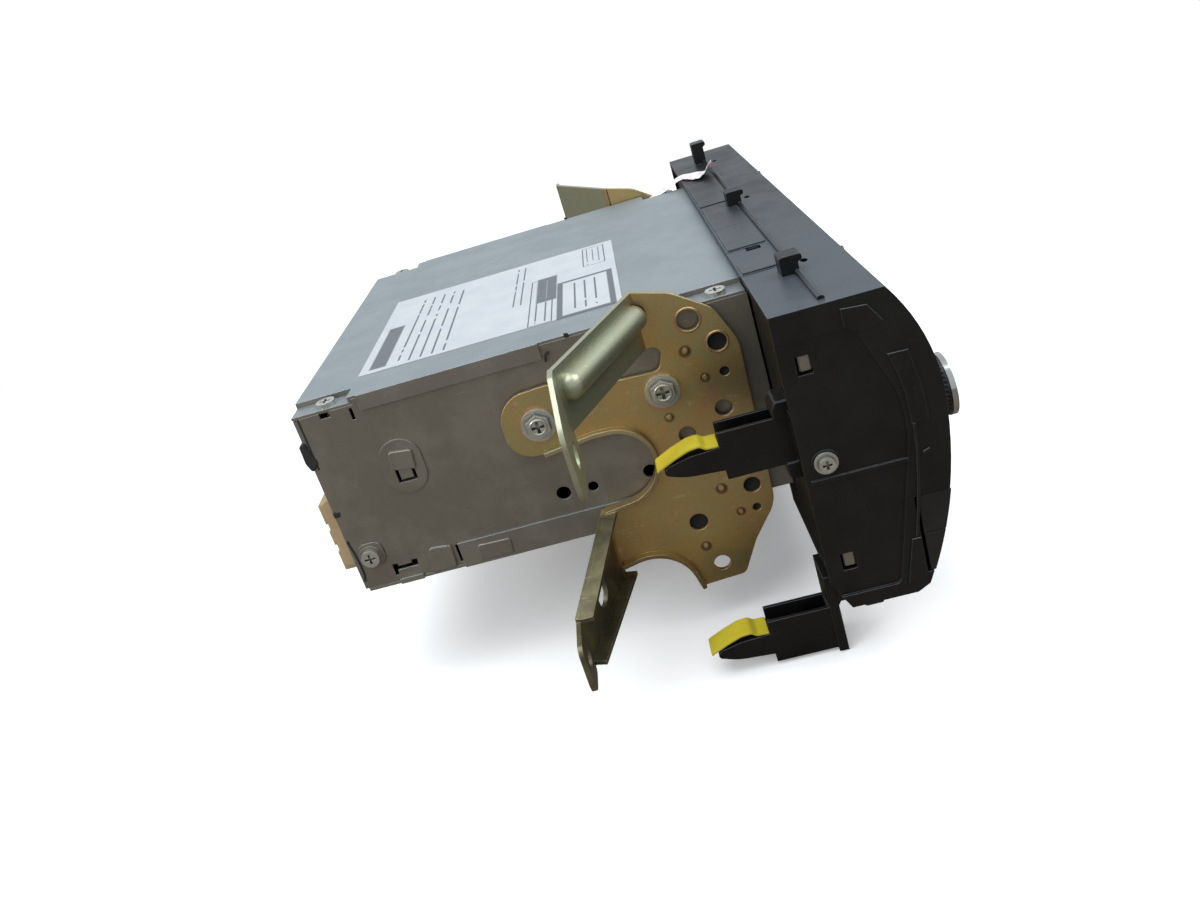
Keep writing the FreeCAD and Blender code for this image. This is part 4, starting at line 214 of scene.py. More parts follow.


# yellow zinc plating: olive and bronze on the plate, pale green on the ears with painted shade on their lower
# part, tinted rings round the holes, painted shade in recesses
def zincPlatePaint(name, look):
    paint = Paint(name)
    broad = paint.noise(26, 3, 0.55)
    patch = paint.noise(9, 4, 0.6, shift=(4, 2, 0))
    grain = paint.noise(0.4, 3, 0.7)
    edge, rounded = paint.edges(0.4)
    side = paint.axis("X").math("ABSOLUTE").ramp(earReach, plateReach)  # 1 on the plates, 0 on the ears
    tone = paint.mix(broad.ramp(0.32, 0.66), colour(look["olive"]), colour(look["bronze"]))
    tone = paint.mix(patch.ramp(0.58, 0.74) * 0.55, tone, colour(look["pink"]))
    tone = paint.mix(patch.ramp(0.42, 0.28) * 0.6, tone, colour(look["green"]))
    # painted shade: the lower ears are darker than the upper ears
    high = paint.axis("Z").ramp(lowerEar, upperEar)
    ear = paint.mix(high, colour(look["low"]), colour(look["ear"]))
    ear = paint.mix(patch.ramp(0.4, 0.7) * 0.35, ear, colour(look["green"]))
    tone = paint.mix((1 - side) * 0.88, tone, ear)
    for y, z, reach in look["studs"]:
        away = paint.distance((0, y, z), (0, 1, 1))
        radius = reach * milli
        ring = away.ramp(radius * 1.7, radius * 1.2) * away.ramp(radius * 0.45, radius * 0.75)
        tone = paint.mix(ring * side * 0.7, tone, colour(look["stud"]))
    for y, z, reach in look["rings"]:
        away = paint.distance((0, y, z), (0, 1, 1))
        ring = away.ramp(reach * 1.9 * milli, reach * 1.15 * milli) * side
        tone = paint.mix(ring * 0.15, tone, colour(look["pink"]))
        halo = away.ramp(reach * 2.6 * milli, reach * 2.1 * milli) * side - ring
        tone = paint.mix(halo.largest(0) * 0.35, tone, colour(look["green"]))
    specks = paint.noise(1.1, 2, 0.6, shift=(1, 7, 2)).ramp(0.7, 0.75)
    streak = paint.noise(1.4, 3, 0.6, stretch=(1, 0.16, 0.4)).ramp(0.62, 0.72)
    tone = paint.mix(grain.ramp(0.4, 0.8) * 0.3, tone, colour(look["dark"]))
    tone = paint.mix(specks * 0.6, tone, colour(look["dark"]))
    tone = paint.mix(streak * 0.22, tone, colour(look["edge"]))
    tone = paint.mix(edge * 0.5, tone, colour(look["edge"]))
    # painted shade in recesses
    tone = paint.mix(paint.hollowShade(1.5) * 0.7, tone, colour("2a1a16"))
    rough = 0.27 + broad * 0.16 + grain * 0.08 + specks * 0.2
    height = grain * 0.6 + patch * 2 - specks
    return paint.finish(look, tone, rough, height, rounded, 0.18)


# moulded plastic: spark-eroded grain, dust on faces that look up, scuffs, paler edges partly rubbed and
# partly painted highlight, a painted sheen on the bezel's top and painted shade in recesses
def plasticPaint(name, look):
    paint = Paint(name)
    grain = paint.noise(look.get("size", 0.45), 3, 0.75)
    cloud = paint.noise(16, 4, 0.6)
    dust = paint.noise(0.8, 2, 0.6, shift=(2, 9, 4)).ramp(0.69, 0.73)
    scuff = paint.noise(1.2, 3, 0.6, stretch=(0.2, 1, 0.7), shift=(8, 0, 0)).ramp(0.66, 0.72)
    upward = paint.facing("Z").ramp(0.3, 0.9)
    edge, rounded = paint.edges(0.35)
    tone = paint.mix(cloud.ramp(0.3, 0.7), colour(look["base"]), colour(look["tint"]))
    tone = paint.mix(grain.ramp(0.45, 0.8) * 0.4, tone, colour(look["tint"]))
    tone = paint.mix(dust * (upward * 0.45 + 0.05) * look.get("dust", 1), tone, colour("9a9a98"))
    tone = paint.mix(scuff * 0.16, tone, colour(look["edge"]))
    # painted sheen: a bluish reflection painted on the bezel's top, stronger towards its near end, scaled by
    # lift
    near = paint.axis("X").ramp(sheenRight, sheenLeft)
    sheen = paint.mix(near, colour("202328"), colour("4b525b"))
    up = paint.axis("Z")
    level = up.ramp(*topBelow) * up.ramp(*topAbove)  # only the bezel's top, not what stands on it
    uneven = cloud.ramp(0.25, 0.7) * 0.35 + 0.65
    tone = paint.mix(upward * level * uneven * look.get("lift", 0), tone, sheen)
    # edges: partly rubbed wear, partly a painted highlight that is paler and bluer where they look up
    above = paint.axis("Z", rounded).ramp(0.1, 0.6)
    rim = paint.mix(above, colour(look["edge"]), colour(look.get("rim", look["edge"])))
    tone = paint.mix(edge * look.get("wearAndHighlight", 0.3), tone, rim)
    # painted shade in recesses
    tone = paint.mix(paint.hollowShade(2) * 0.6, tone, colour("050505"))
    low, high = look["rough"]
    rough = grain * 0.16 + cloud.ramp(0.3, 0.7) * (high - low) + low - scuff * 0.08
    height = grain + cloud * 0.6 - scuff * 0.3
    return paint.finish(look, tone, rough, height, rounded, look.get("bump", 0.3))


# turned or drawn bright metal with fine grain, stains and painted shade in recesses
def brightPaint(name, look):
    paint = Paint(name)
    cloud = paint.noise(6, 4, 0.6)
    grain = paint.noise(0.25, 3, 0.7)
    stain = paint.noise(2.2, 3, 0.6, shift=(6, 2, 3)).ramp(0.6, 0.72)
    edge, rounded = paint.edges(0.2)
    tone = paint.mix(cloud.ramp(0.3, 0.7), colour(look["base"]), colour(look["tint"]))
    tone = paint.mix(stain * 0.4, tone, colour(look["dark"]))
    tone = paint.mix(grain.ramp(0.4, 0.8) * 0.25, tone, colour(look["dark"]))
    tone = paint.mix(edge * 0.4, tone, colour(look["edge"]))
    # painted shade in recesses
    tone = paint.mix(paint.hollowShade(1.3, 0.92, 0.45) * 0.75, tone, colour("12110f"))
    low, high = look["rough"]
    rough = cloud.ramp(0.3, 0.7) * (high - low) + low + stain * 0.12
    return paint.finish(look, tone, rough, grain + cloud, rounded, 0.12)


# printed label: off-white paper with plain grey ruling and no writing
def labelPaint(name, look):
    paint = Paint(name)
    fibre = paint.noise(0.5, 4, 0.7)
    cloud = paint.noise(12, 3, 0.6)
    x, y = paint.axis("X"), paint.axis("Y")

    def outside(x0, x1, y0, y1):  # metres outside a rectangle given in drawing mm, less than 0 within it
        corner, other = at(x0, y0, 0), at(x1, y1, 0)
        middle, half = (corner + other) / 2, (other - corner) / 2
        outX = (x - middle.x).math("ABSOLUTE") - half.x
        outY = (y - middle.y).math("ABSOLUTE") - half.y
        return outX.largest(outY)

    lines = []
    for x0, x1, y0, y1, wide in look["boxes"]:
        rim = outside(x0, x1, y0, y1).math("ABSOLUTE")
        lines.append(rim.ramp(wide * 0.62 * milli, wide * 0.4 * milli))
    for x0, x1, y0, y1, pitch, wide in look["rows"]:
        within = outside(x0, x1, y0, y1).ramp(0.1 * milli, -0.1 * milli)
        phase = ((y - at(x0, y0, 0).y) / (pitch * milli)).math("FRACT") - 0.5
        line = phase.math("ABSOLUTE").ramp(wide / pitch * 0.62, wide / pitch * 0.4)
        broken = paint.noise(7, 1, 0.5, stretch=(1, 0.9, 1), shift=(pitch, y0 * 0.01, 0))
        lines.append(line * within * broken.ramp(0.62, 0.58))
    ruling = lines[0]
    for line in lines[1:]:
        ruling = ruling.largest(line)
    ruling = ruling * fibre.ramp(0.22, 0.4)
    tone = paint.mix(cloud.ramp(0.3, 0.7), colour(look["base"]), colour(look["tint"]))
    tone = paint.mix(ruling * 0.85, tone, colour(look["ink"]))
    scuff = paint.noise(1.6, 3, 0.7, shift=(3, 3, 3)).ramp(0.66, 0.7)
    tone = paint.mix(scuff * 0.2, tone, colour("8f949a"))
    rough = 0.42 + cloud * 0.15 + ruling * 0.1
    return paint.finish(look, tone, rough, fibre + cloud, None, 0.1)


# adhesive tape: satin white film with pale pink streaks
def tapePaint(name, look):
    paint = Paint(name)
    streak = paint.noise(2.4, 3, 0.6, stretch=(0.5, 1.6, 1))
    crease = paint.noise(5, 3, 0.6)
    grain = paint.noise(0.4, 2, 0.6)
    tone = paint.mix(crease.ramp(0.3, 0.7), colour(look["base"]), colour(look["tint"]))
    tone = paint.mix(streak.ramp(0.5, 0.62) * 0.75, tone, colour(look["streak"]))
    return paint.finish(look, tone, 0.28 + crease * 0.2, crease * 3 + grain, None, 0.3)


# circuit board: solder mask with copper runs and drilled pads
def boardPaint(name, look):
    paint = Paint(name)
    run = paint.cells(3.2, "DISTANCE_TO_EDGE").ramp(0.14, 0.1)
    pad = paint.cells(4.1).ramp(0.2, 0.16)
    hole = paint.cells(4.1).ramp(0.09, 0.07)
    grain = paint.noise(0.4, 3, 0.7)
    tone = paint.mix(grain, colour(look["base"]), colour(look["tint"]))
    tone = paint.mix(run * 0.55, tone, colour(look["run"]))
    tone = paint.mix(pad * 0.9, tone, colour("b9bcb4"))
    tone = paint.mix(hole, tone, colour("101210"))
    return paint.finish(look, tone, 0.36 + grain * 0.15, run * 0.5 + pad + grain * 0.2, None, 0.3)


# clear or smoked window: faint smears and dust in the gloss
def windowPaint(name, look):
    paint = Paint(name)
    smear = paint.noise(10, 4, 0.6, stretch=(0.4, 1, 1))
    dust = paint.noise(0.7, 2, 0.6).ramp(0.7, 0.74)
    tone = paint.mix(dust * 0.3, colour(look["base"]), colour("8c8c8c"))
    rough = 0.05 + smear.ramp(0.45, 0.75) * 0.1 + dust * 0.3
    return paint.finish(look, tone, rough, smear + dust, None, 0.03)


# round features of the bracket plates: y, z and radius in drawing mm
bracketHoles = [
    (20.8, 69.2, 3.7), (13.3, 59.2, 3.2), (78.6, 47.6, 5), (35, 47.6, 5),
    (30.9, 29.3, 3), (14.1, 4.2, 3), (35.4, -4.9, 3.3), (31.3, -23.5, 3)]
studSpots = [
    (24.3, 58.8, 1.5), (20.1, 47.9, 1.2), (35.2, 37.2, 1.3),
    (24.6, 5.7, 1.5), (20.1, -5, 1.2), (35.2, -15.3, 1.4)]
plugSpots = [(35.4, -4.9, 3.3), (14.4, -4.8, 1.5), (14.1, 4.2, 3), (13.3, 59.2, 3.2), (13.4, 48.3, 1.7)]
collarSpots = [(20.8, 69.2, 3.7), (13.3, 59.2, 3.2)]

# finishes: the paint function and its look, with colours in display hex
# wall and wallTint: a darker, warmer painted shade and reflection on faces that don't look up
shadedWallTones = {"wall": "8e8a81", "wallTint": "7f7a71"}
paints = {
    "galvanised": (sheetPaint, {
        "base": "9aa2a6", "tint": "8f979b", "dark": "6e777b", "edge": "d5dadc", "rough": (0.42, 0.55),
        "metal": 0.7, "speckLevel": 0.66, **shadedWallTones}),
    "side_sheet": (sheetPaint, {
        "base": "a5aaac", "tint": "979c9f", "dark": "4d4840", "edge": "b9b2a8", "rough": (0.36, 0.48),
        "metal": 0.7, "grain": 0.2, "brush": (1, 0.05, 1), **shadedWallTones}),
    "heat_aluminium": (sheetPaint, {
        "base": "b5b8ba", "tint": "a5a8ab", "wall": "adafb1", "wallTint": "9d9fa2", "dark": "707376",
        "edge": "d8dadb", "rough": (0.4, 0.5), "metal": 0.85}),
    # the zinc's low tone is the painted shade of the lower ears
    "yellow_zinc": (zincPlatePaint, {
        "olive": "b3a373", "bronze": "c2a36b", "pink": "c68f80", "green": "a8ab7c", "ear": "a7b09d",
        "low": "50534a", "dark": "64573a", "edge": "e6dcc0", "stud": "5c3a30", "metal": 0.85,
        "rings": bracketHoles, "studs": studSpots}),
    "zinc_screw": (brightPaint, {
        "base": "cfd1ca", "tint": "b4b6b0", "dark": "6a6964", "edge": "e4e4de", "rough": (0.26, 0.4),
        "metal": 0.85}),
    "contact_brass": (brightPaint, {
        "base": "c9a557", "tint": "b48f45", "dark": "6e5526", "edge": "ecd9a0", "rough": (0.25, 0.4),
        "metal": 0.95}),
    "plain_steel": (brightPaint, {
        "base": "b4b4b0", "tint": "9b9b97", "dark": "5d5d5a", "edge": "dededa", "rough": (0.22, 0.36),
        "metal": 0.95}),
    "tinned_can": (brightPaint, {
        "base": "b9bcb9", "tint": "a3a6a3", "dark": "6b6d6a", "edge": "dfe1de", "rough": (0.3, 0.42),
        "metal": 0.9}),
    "knob_chrome": (brightPaint, {
        "base": "c9cac8", "tint": "b2b4b3", "dark": "777977", "edge": "f0f0ee", "rough": (0.1, 0.2),
        "metal": 1}),
    "beige_plastic": (plasticPaint, {
        "base": "b9a27c", "tint": "a8916b", "edge": "cdb990", "rough": (0.45, 0.55), "dust": 0.3}),
    "chip_black": (plasticPaint, {
        "base": "1b1b1c", "tint": "262627", "edge": "4a4a4a", "rough": (0.5, 0.6)}),
    "capacitor_sleeve": (plasticPaint, {
        "base": "1f2430", "tint": "2a3040", "edge": "59606e", "rough": (0.3, 0.4), "bump": 0.1}),
    "damper_rubber": (plasticPaint, {
        "base": "0d0e0f", "tint": "151618", "edge": "2c2e30", "rough": (0.65, 0.75), "dust": 0.2}),
    "roller_rubber": (plasticPaint, {
        "base": "33312f", "tint": "3e3b38", "edge": "54504c", "rough": (0.65, 0.75)}),
    "white_plastic": (plasticPaint, {
        "base": "d3d1c8", "tint": "c5c2b8", "edge": "e6e4dc", "rough": (0.4, 0.5), "bump": 0.12}),
    "dark_plastic": (plasticPaint, {
        "base": "1a1b1c", "tint": "232425", "edge": "45474a", "rough": (0.45, 0.55)}),
    # the bezel's lift is the strength of its painted sheen
    "bezel_black": (plasticPaint, {
        # its edge and rim colours are partly painted highlights
        "base": "080808", "tint": "101110", "edge": "484c50", "rim": "8a929c", "lift": 0.75, "wearAndHighlight": 0.6,
        "rough": (0.26, 0.38), "size": 0.5, "bump": 0.22, "shader": {"Specular IOR Level": 0.35}}),
    "face_black": (plasticPaint, {
        "base": "0c0c0d", "tint": "141516", "edge": "3c3e40", "rough": (0.28, 0.38),
        "size": 0.4, "bump": 0.2}),
    "button_black": (plasticPaint, {
        "base": "0e0e0f", "tint": "161718", "edge": "45484b", "rough": (0.32, 0.42),
        "size": 0.4, "bump": 0.2}),
    "knob_black": (plasticPaint, {
        "base": "0d0d0d", "tint": "151515", "edge": "494c4f", "rough": (0.32, 0.42), "bump": 0.2}),
    "spring_yellow": (plasticPaint, {
        "base": "cbbe30", "tint": "bba81f", "edge": "e9df66", "rough": (0.3, 0.42),
        "dust": 0.2, "bump": 0.1}),
    "board_green": (boardPaint, {"base": "1e5a36", "tint": "194c2e", "run": "2f7748"}),
    "lens_clear": (windowPaint, {"base": "dfe6ee", "shader": {"Transmission Weight": 0.9, "IOR": 1.5}}),
    "window_smoke": (windowPaint, {"base": "2a2d31", "shader": {"Transmission Weight": 0.75, "IOR": 1.49}}),
    "label_paper": (labelPaint, {
        "base": "b2b6ba", "tint": "a9afb4", "ink": "3c4249",
        "boxes": [  # x0, x1, y0, y1 and line width
            (-69.5, -26.5, 43, 62.8, 2.2), (-70, -13.5, 65.8, 74.5, 0.5), (-42.5, -14, 66.2, 70.2, 4),
            (-12, 16, 44, 53, 0.5), (-65, -23, 130.6, 132.6, 4.4)],
        "rows": [  # x0, x1, y0, y1, pitch and line width
            (-65, -31, 47, 59, 4, 0.7), (-68, -45, 66.5, 74, 3.6, 0.6), (-11, 15, 45, 52.6, 2.5, 0.4),
            (-40, 14, 77, 83, 3, 0.6), (-68, 10, 104, 126, 4.4, 0.8)]}),
    "tape_white": (tapePaint, {"base": "e3e5e6", "tint": "d2d5d8", "streak": "d99aa0"}),
}
materials = {name: build("paint." + name, look) for name, (build, look) in paints.items()}
for thing in nodes.values():
    for place in thing.material_slots:
        place.material = materials[place.material.name.split(".")[0]]
print("materials made")

smoothAngle = 35  # degrees between two faces up to which the edge is shaded smooth
sharpAngle = 0.5  # radians between two faces from which their edge is softened
arcSteps = 4
turnSides = 48


def clad(name, mesh, slot, body="unit"):  # a detail piece with its finish and the body that it moves with
    thing = bpy.data.objects.new(name, mesh)
    bpy.context.collection.objects.link(thing)
    for face in mesh.polygons:
        face.use_smooth = True
    mesh.set_sharp_from_angle(angle=math.radians(smoothAngle))
    mesh.materials.append(materials[slot])
    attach(thing, body)
    return thing


def arcs(corners):  # an outline whose corners (a, b, radius) are rounded
    points = []
    for index, (a, b, radius) in enumerate(corners):
        here = Vector((a, b))
        if not radius:
            points.append(here)
            continue
        before = Vector(corners[index - 1][:2]) - here
        after = Vector(corners[(index + 1) % len(corners)][:2]) - here
        start, end = here + before.normalized() * radius, here + after.normalized() * radius
        for step in range(arcSteps + 1):
            t = step / arcSteps
            points.append(start * (1 - t) ** 2 + here * 2 * t * (1 - t) + end * t * t)
    return points


def band(path, wide):  # the outline of a strip along a path
    points = [Vector(p) for p in path]
    left, right = [], []
    for index, point in enumerate(points):
        way = points[min(index + 1, len(points) - 1)] - points[max(index - 1, 0)]
        across = Vector((-way.y, way.x)).normalized() * wide / 2
        left.append(point + across)
        right.append(point - across)
    return left + right[::-1]


places = {"x": lambda a, b, c: at(c, a, b), "z": at}  # c is along the axis, a and b across it


def meshOf(form, name):  # ends the bmesh and hands over its mesh
    mesh = bpy.data.meshes.new(name)
    form.to_mesh(mesh)
    form.free()
    return mesh


def cornersOf(geometry):
    return [piece for piece in geometry if isinstance(piece, bmesh.types.BMVert)]


def prism(name, facts):  # an outline carried along one axis, with softened edges
    place = places[facts["axis"]]
    low, high = facts["reach"]
    form = bmesh.new()
    base = form.faces.new([form.verts.new(place(a, b, low)) for a, b in facts["outline"]])
    grown = bmesh.ops.extrude_face_region(form, geom=[base])["geom"]
    shift = place(0, 0, high) - place(0, 0, low)
    bmesh.ops.translate(form, verts=cornersOf(grown), vec=shift)
    bmesh.ops.recalc_face_normals(form, faces=form.faces)
    sharp = [e for e in form.edges if e.calc_face_angle(0) > sharpAngle]
    soft = facts.get("soft", 0.12) * milli
    bmesh.ops.bevel(form, geom=sharp, offset=soft, segments=2, affect="EDGES", clamp_overlap=True)
    clad(name, meshOf(form, name), facts["slot"])


def onBothSides(name, facts):  # the same prism on the left and on the right
    low, high = facts["reach"]
    prism(name + "_left", facts)
    prism(name + "_right", {**facts, "reach": (-high, -low)})


def turned(name, facts):  # a profile of (radius, height outward) turned round an axis across the part
    x, y, z = facts["centre"]
    outward = math.copysign(1, x)
    turns = [math.tau * k / turnSides for k in range(turnSides)]
    form = bmesh.new()
    rings = []
    for radius, height in facts["profile"]:
        ring = [at(x + height * outward, y + radius * math.cos(t), z + radius * math.sin(t)) for t in turns]
        rings.append([form.verts.new(point) for point in ring])
    for first, second in zip(rings, rings[1:] + rings[:1]):
        for k in range(turnSides):
            after = (k + 1) % turnSides
            form.faces.new((first[k], first[after], second[after], second[k]))
    bmesh.ops.recalc_face_normals(form, faces=form.faces)
    clad(name, meshOf(form, name), facts["slot"])


# bezel sides: ledges, the curved band in front of the recess, its thin rib and the lower corner panel
bezelTrim = {"axis": "x", "reach": (-136.5, -135.7), "slot": "bezel_black"}
onBothSides("side_band", {**bezelTrim, "outline": [
    (-28.7, 59.2), (-30.4, 53), (-31.5, 46), (-31.9, 36),
    (-36.9, 36), (-36.9, 42), (-36.3, 49), (-34.6, 59)]})
onBothSides("side_ledge", {**bezelTrim, "outline": [
    (-18.6, 76), (-26, 75.3), (-29.6, 69.3), (-23.6, 68), (-18.6, 70.6)]})
onBothSides("side_rib", {**bezelTrim, "soft": 0.2, "outline": band(
    [(-32.5, 36), (-32.1, 28), (-31, 19), (-29.4, 9), (-27.6, 0), (-27.2, -2)], 0.9)})
onBothSides("side_corner", {**bezelTrim, "outline": [
    (-25.6, -2.2), (-28.4, -2.2), (-27.9, -16.4), (-22, -17.6)]})
onBothSides("side_step", {**bezelTrim, "outline": [
    (-33.4, 26.2), (-35.6, 27), (-35.6, 26), (-33.6, 25.2)]})

# tabs of the inner frame that show in the bezel's side windows
tabTrim = {"axis": "x", "reach": (-134.6, -132.2), "slot": "side_sheet", "soft": 0.3}
for where, up in (("upper", 62), ("lower", -5.2)):
    onBothSides(f"window_tab_{where}", {**tabTrim, "outline": arcs(
        [(-8.1, up - 2.2, 0), (-8.1, up + 2.9, 0.5), (-4.6, up + 2.9, 0.5), (-4.6, up - 2.2, 0)])})

# bezel top: low pads between the grooves, given by their left, right and rear ends
padTrim = {"axis": "z", "reach": (78.6, 79.3), "slot": "bezel_black", "soft": 0.15}
padEnds = [(-61.6, -31.4, -13), (-30.9, 9.6, -13), (12.4, 61, -13.2), (-91.4, -80, -12.4)]
for index, (x0, x1, y0) in enumerate(padEnds):
    prism(f"top_pad_{index + 1}", {**padTrim, "outline": [(x0, 0.2), (x1, 0.2), (x1, y0), (x0, y0)]})

# case sides: lanced tab in the oval boss, pressed pads on the lower edge, boss of the rear screw
caseTrim = {"axis": "x", "slot": "side_sheet"}
onBothSides("boss_tab", {**caseTrim, "reach": (-90.3, -89.2), "soft": 0.35, "outline": arcs(
    [(133, 44.8, 0.6), (132.4, 51.8, 1.4), (123.9, 50.8, 1.4), (124.6, 43.4, 0.6)])})
onBothSides("low_pad_rear", {**caseTrim, "reach": (-89.9, -88.8), "soft": 0.4, "outline": arcs(
    [(134.2, 1.4, 1), (131.8, 11.6, 2), (123.2, 10.6, 2), (123.8, 1.4, 1)])})
onBothSides("low_pad_front", {**caseTrim, "reach": (-90.3, -89.4), "soft": 0.3, "outline": arcs(
    [(115, 1.6, 0.5), (114.2, 7.8, 1.2), (101.8, 7.4, 1.2), (102.3, 1.6, 0.5)])})
onBothSides("screw_boss", {**caseTrim, "reach": (-89.3, -88.8), "soft": 0.25, "outline": arcs(
    [(147.4, 19.6, 4), (157.6, 19.6, 4), (157.6, 9.8, 4), (147.4, 9.8, 4)])})

# clip towers: the shoulder above and the block below, and a rib under the bezel
towerTrim = {"axis": "x", "reach": (-125.5, -115.5), "slot": "bezel_black", "soft": 0.3}
onBothSides("tower_shoulder", {**towerTrim, "outline": [
    (-0.5, 42.8), (-0.5, 48.5), (3.6, 48.5), (5.2, 46), (5.2, 42.8)]})
onBothSides("tower_block", {**towerTrim, "outline": [
    (-0.5, 27.5), (4.2, 27.5), (4.2, 22.5), (2.4, 21.5), (-0.5, 21.5)]})
onBothSides("bottom_rib", {**towerTrim, "reach": (-135.9, -131), "outline": [
    (-7.6, -21), (-8, -22.6), (-13.6, -22.6), (-14, -21)]})

# top cover flange: dark plastic slivers at its folds, painted shade standing in for the notches
flangeTrim = {"axis": "x", "reach": (-89.9, -89.4), "slot": "dark_plastic", "soft": 0.02}
onBothSides("flange_notch", {**flangeTrim, "outline": [
    (59.6, 74.2), (61.3, 74.4), (61.2, 75.9), (59.8, 75.7)]})
onBothSides("flange_hook", {**flangeTrim, "outline": band([(69.7, 68.1), (69, 70.6), (67.7, 71.1)], 0.8)})

# rear edge: dark plastic slivers as painted shade in the seam, gap and notch, small guide clips beside the
# rear panel, the connector's cheek
rearTrim = {"axis": "x", "reach": (-89.1, -88.7), "slot": "dark_plastic", "soft": 0.02}
onBothSides("rear_seam", {**rearTrim, "outline": [
    (157.6, 52), (158.3, 52), (158.3, 72), (157.6, 72)]})
onBothSides("rear_gap", {**rearTrim, "outline": band(
    [(159.2, 22), (158.4, 17), (158, 11), (158.1, 7), (158.9, 4.4)], 0.9)})
onBothSides("rear_notch", {**rearTrim, "outline": [
    (159.9, 34.4), (157.1, 34.2), (157.6, 32.3), (159.9, 32.4)]})
onBothSides("rear_clip", {**rearTrim, "reach": (-89.5, -85.5), "soft": 0.3, "outline": [
    (159.3, 63), (161.4, 62.4), (161.6, 55.4), (160.4, 52), (159.3, 52.3), (157.1, 54.8)]})
prism("connector_cheek", {
    "axis": "x", "reach": (-83.6, -82.8), "slot": "beige_plastic", "soft": 0.2,
    "outline": [(160, 9), (165.6, 9.6), (165.6, 35.4), (163, 37.4), (160, 37.4)]})

# round details: hole collars, studs, dark plugs, rings on the bolt heads, seats of the side screws
plateFace, plugFace, boltFace, bezelFace = 91.4, 90.1, 94.2, 135.2  # surfaces, in mm from the middle plane
boltSpots = [(78.6, 47.6), (35, 47.6)]
for side, name in ((-1, "left"), (1, "right")):
    for index, (y, z, radius) in enumerate(collarSpots):
        turned(f"hole_collar_{name}_{index + 1}", {
            "centre": (side * plateFace, y, z), "slot": "yellow_zinc",
            "profile": [
                (radius, -0.3), (radius, 0.2), (radius + 0.2, 0.35),
                (radius + 0.6, 0.3), (radius + 0.9, -0.1)]})
    for index, (y, z, radius) in enumerate(studSpots):
        turned(f"plate_stud_{name}_{index + 1}", {
            "centre": (side * plateFace, y, z), "slot": "yellow_zinc",
            "profile": [
                (radius, -0.3), (radius * 0.95, 0.15), (radius * 0.75, 0.35), (0.02, 0.4), (0.02, -0.3)]})
    for index, (y, z, radius) in enumerate(plugSpots):
        wide = radius + 0.1
        turned(f"hole_plug_{name}_{index + 1}", {
            "centre": (side * plugFace, y, z), "slot": "damper_rubber",
            "profile": [
                (wide, -0.3), (wide, 0.1), (radius * 0.8, 0.3),
                (radius * 0.45, 0.1), (0.02, 0), (0.02, -0.3)]})
    for index, (y, z) in enumerate(boltSpots):
        turned(f"bolt_ring_{name}_{index + 1}", {
            "centre": (side * boltFace, y, z), "slot": "zinc_screw",
            "profile": [(2.2, -0.2), (2.3, 0.25), (2.5, 0.35), (2.9, 0.35), (3.1, 0.2), (3.15, -0.2)]})
    turned(f"screw_seat_{name}", {
        "centre": (side * bezelFace, -5.9, 30), "slot": "bezel_black",
        "profile": [(3.5, -0.3), (3.55, 0.3), (3.8, 0.45), (4.2, 0.45), (4.4, 0.3), (4.5, -0.3)]})

# the curled strip of tape at the seam
tapeStrip = {
    "rows": 48, "columns": 10, "bow": 0.5, "ripple": 0.12, "thick": 0.15,
    "stations": [  # left and right edge of the strip, from its rear end to its curled front end
        ((80.8, 18.2, 73.2), (88.2, 18.2, 73.2)), ((80.4, 9, 75.9), (88, 9, 76.2)),
        ((78.5, 1, 79.3), (87.5, 0.2, 79.5)), ((74, -2, 79.5), (84.5, -6, 79.7)),
        ((69.5, -4.5, 79.6), (78.5, -11.5, 80.3)), ((65.8, -7, 80.4), (73.5, -13.4, 82)),
        ((64, -9.4, 82.2), (70.2, -14, 84.2)), ((65, -11, 84), (70, -14.4, 86))]}


def along(row, t):  # a smooth curve through the points of a row, t from 0 to 1
    spot = t * (len(row) - 1)
    k = min(int(spot), len(row) - 2)
    a, b, c, d = (Vector(row[min(max(k + j, 0), len(row) - 1)]) for j in (-1, 0, 1, 2))
    u = spot - k
    square, cube = a * 2 - b * 5 + c * 4 - d, b * 3 - a - c * 3 + d
    return (b * 2 + (c - a) * u + square * u * u + cube * u ** 3) / 2


def curledTape(name, facts):
    rows, columns = facts["rows"], facts["columns"]
    form = bmesh.new()
    grid = []
    for r in range(rows + 1):
        left, right = (along([station[k] for station in facts["stations"]], r / rows) for k in (0, 1))
        line = []
        for c in range(columns + 1):
            u = c / columns
            lift = math.sin(math.pi * u) * facts["bow"] + math.sin(r * 0.7 + u * 5) * facts["ripple"]
            line.append(form.verts.new(at(*(left.lerp(right, u) + Vector((0, 0, lift))))))
        grid.append(line)
    for near, far in zip(grid, grid[1:]):
        for c in range(columns):
            form.faces.new((near[c], near[c + 1], far[c + 1], far[c]))
    tape = clad(name, meshOf(form, name), "tape_white")
    thick = tape.modifiers.new("thick", "SOLIDIFY")
    thick.thickness = facts["thick"] * milli
    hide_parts("seal_tape")


curledTape("curled_tape", tapeStrip)

markDepth = 0.3  # mm
frontStart = -120  # drawing y, in front of the whole part


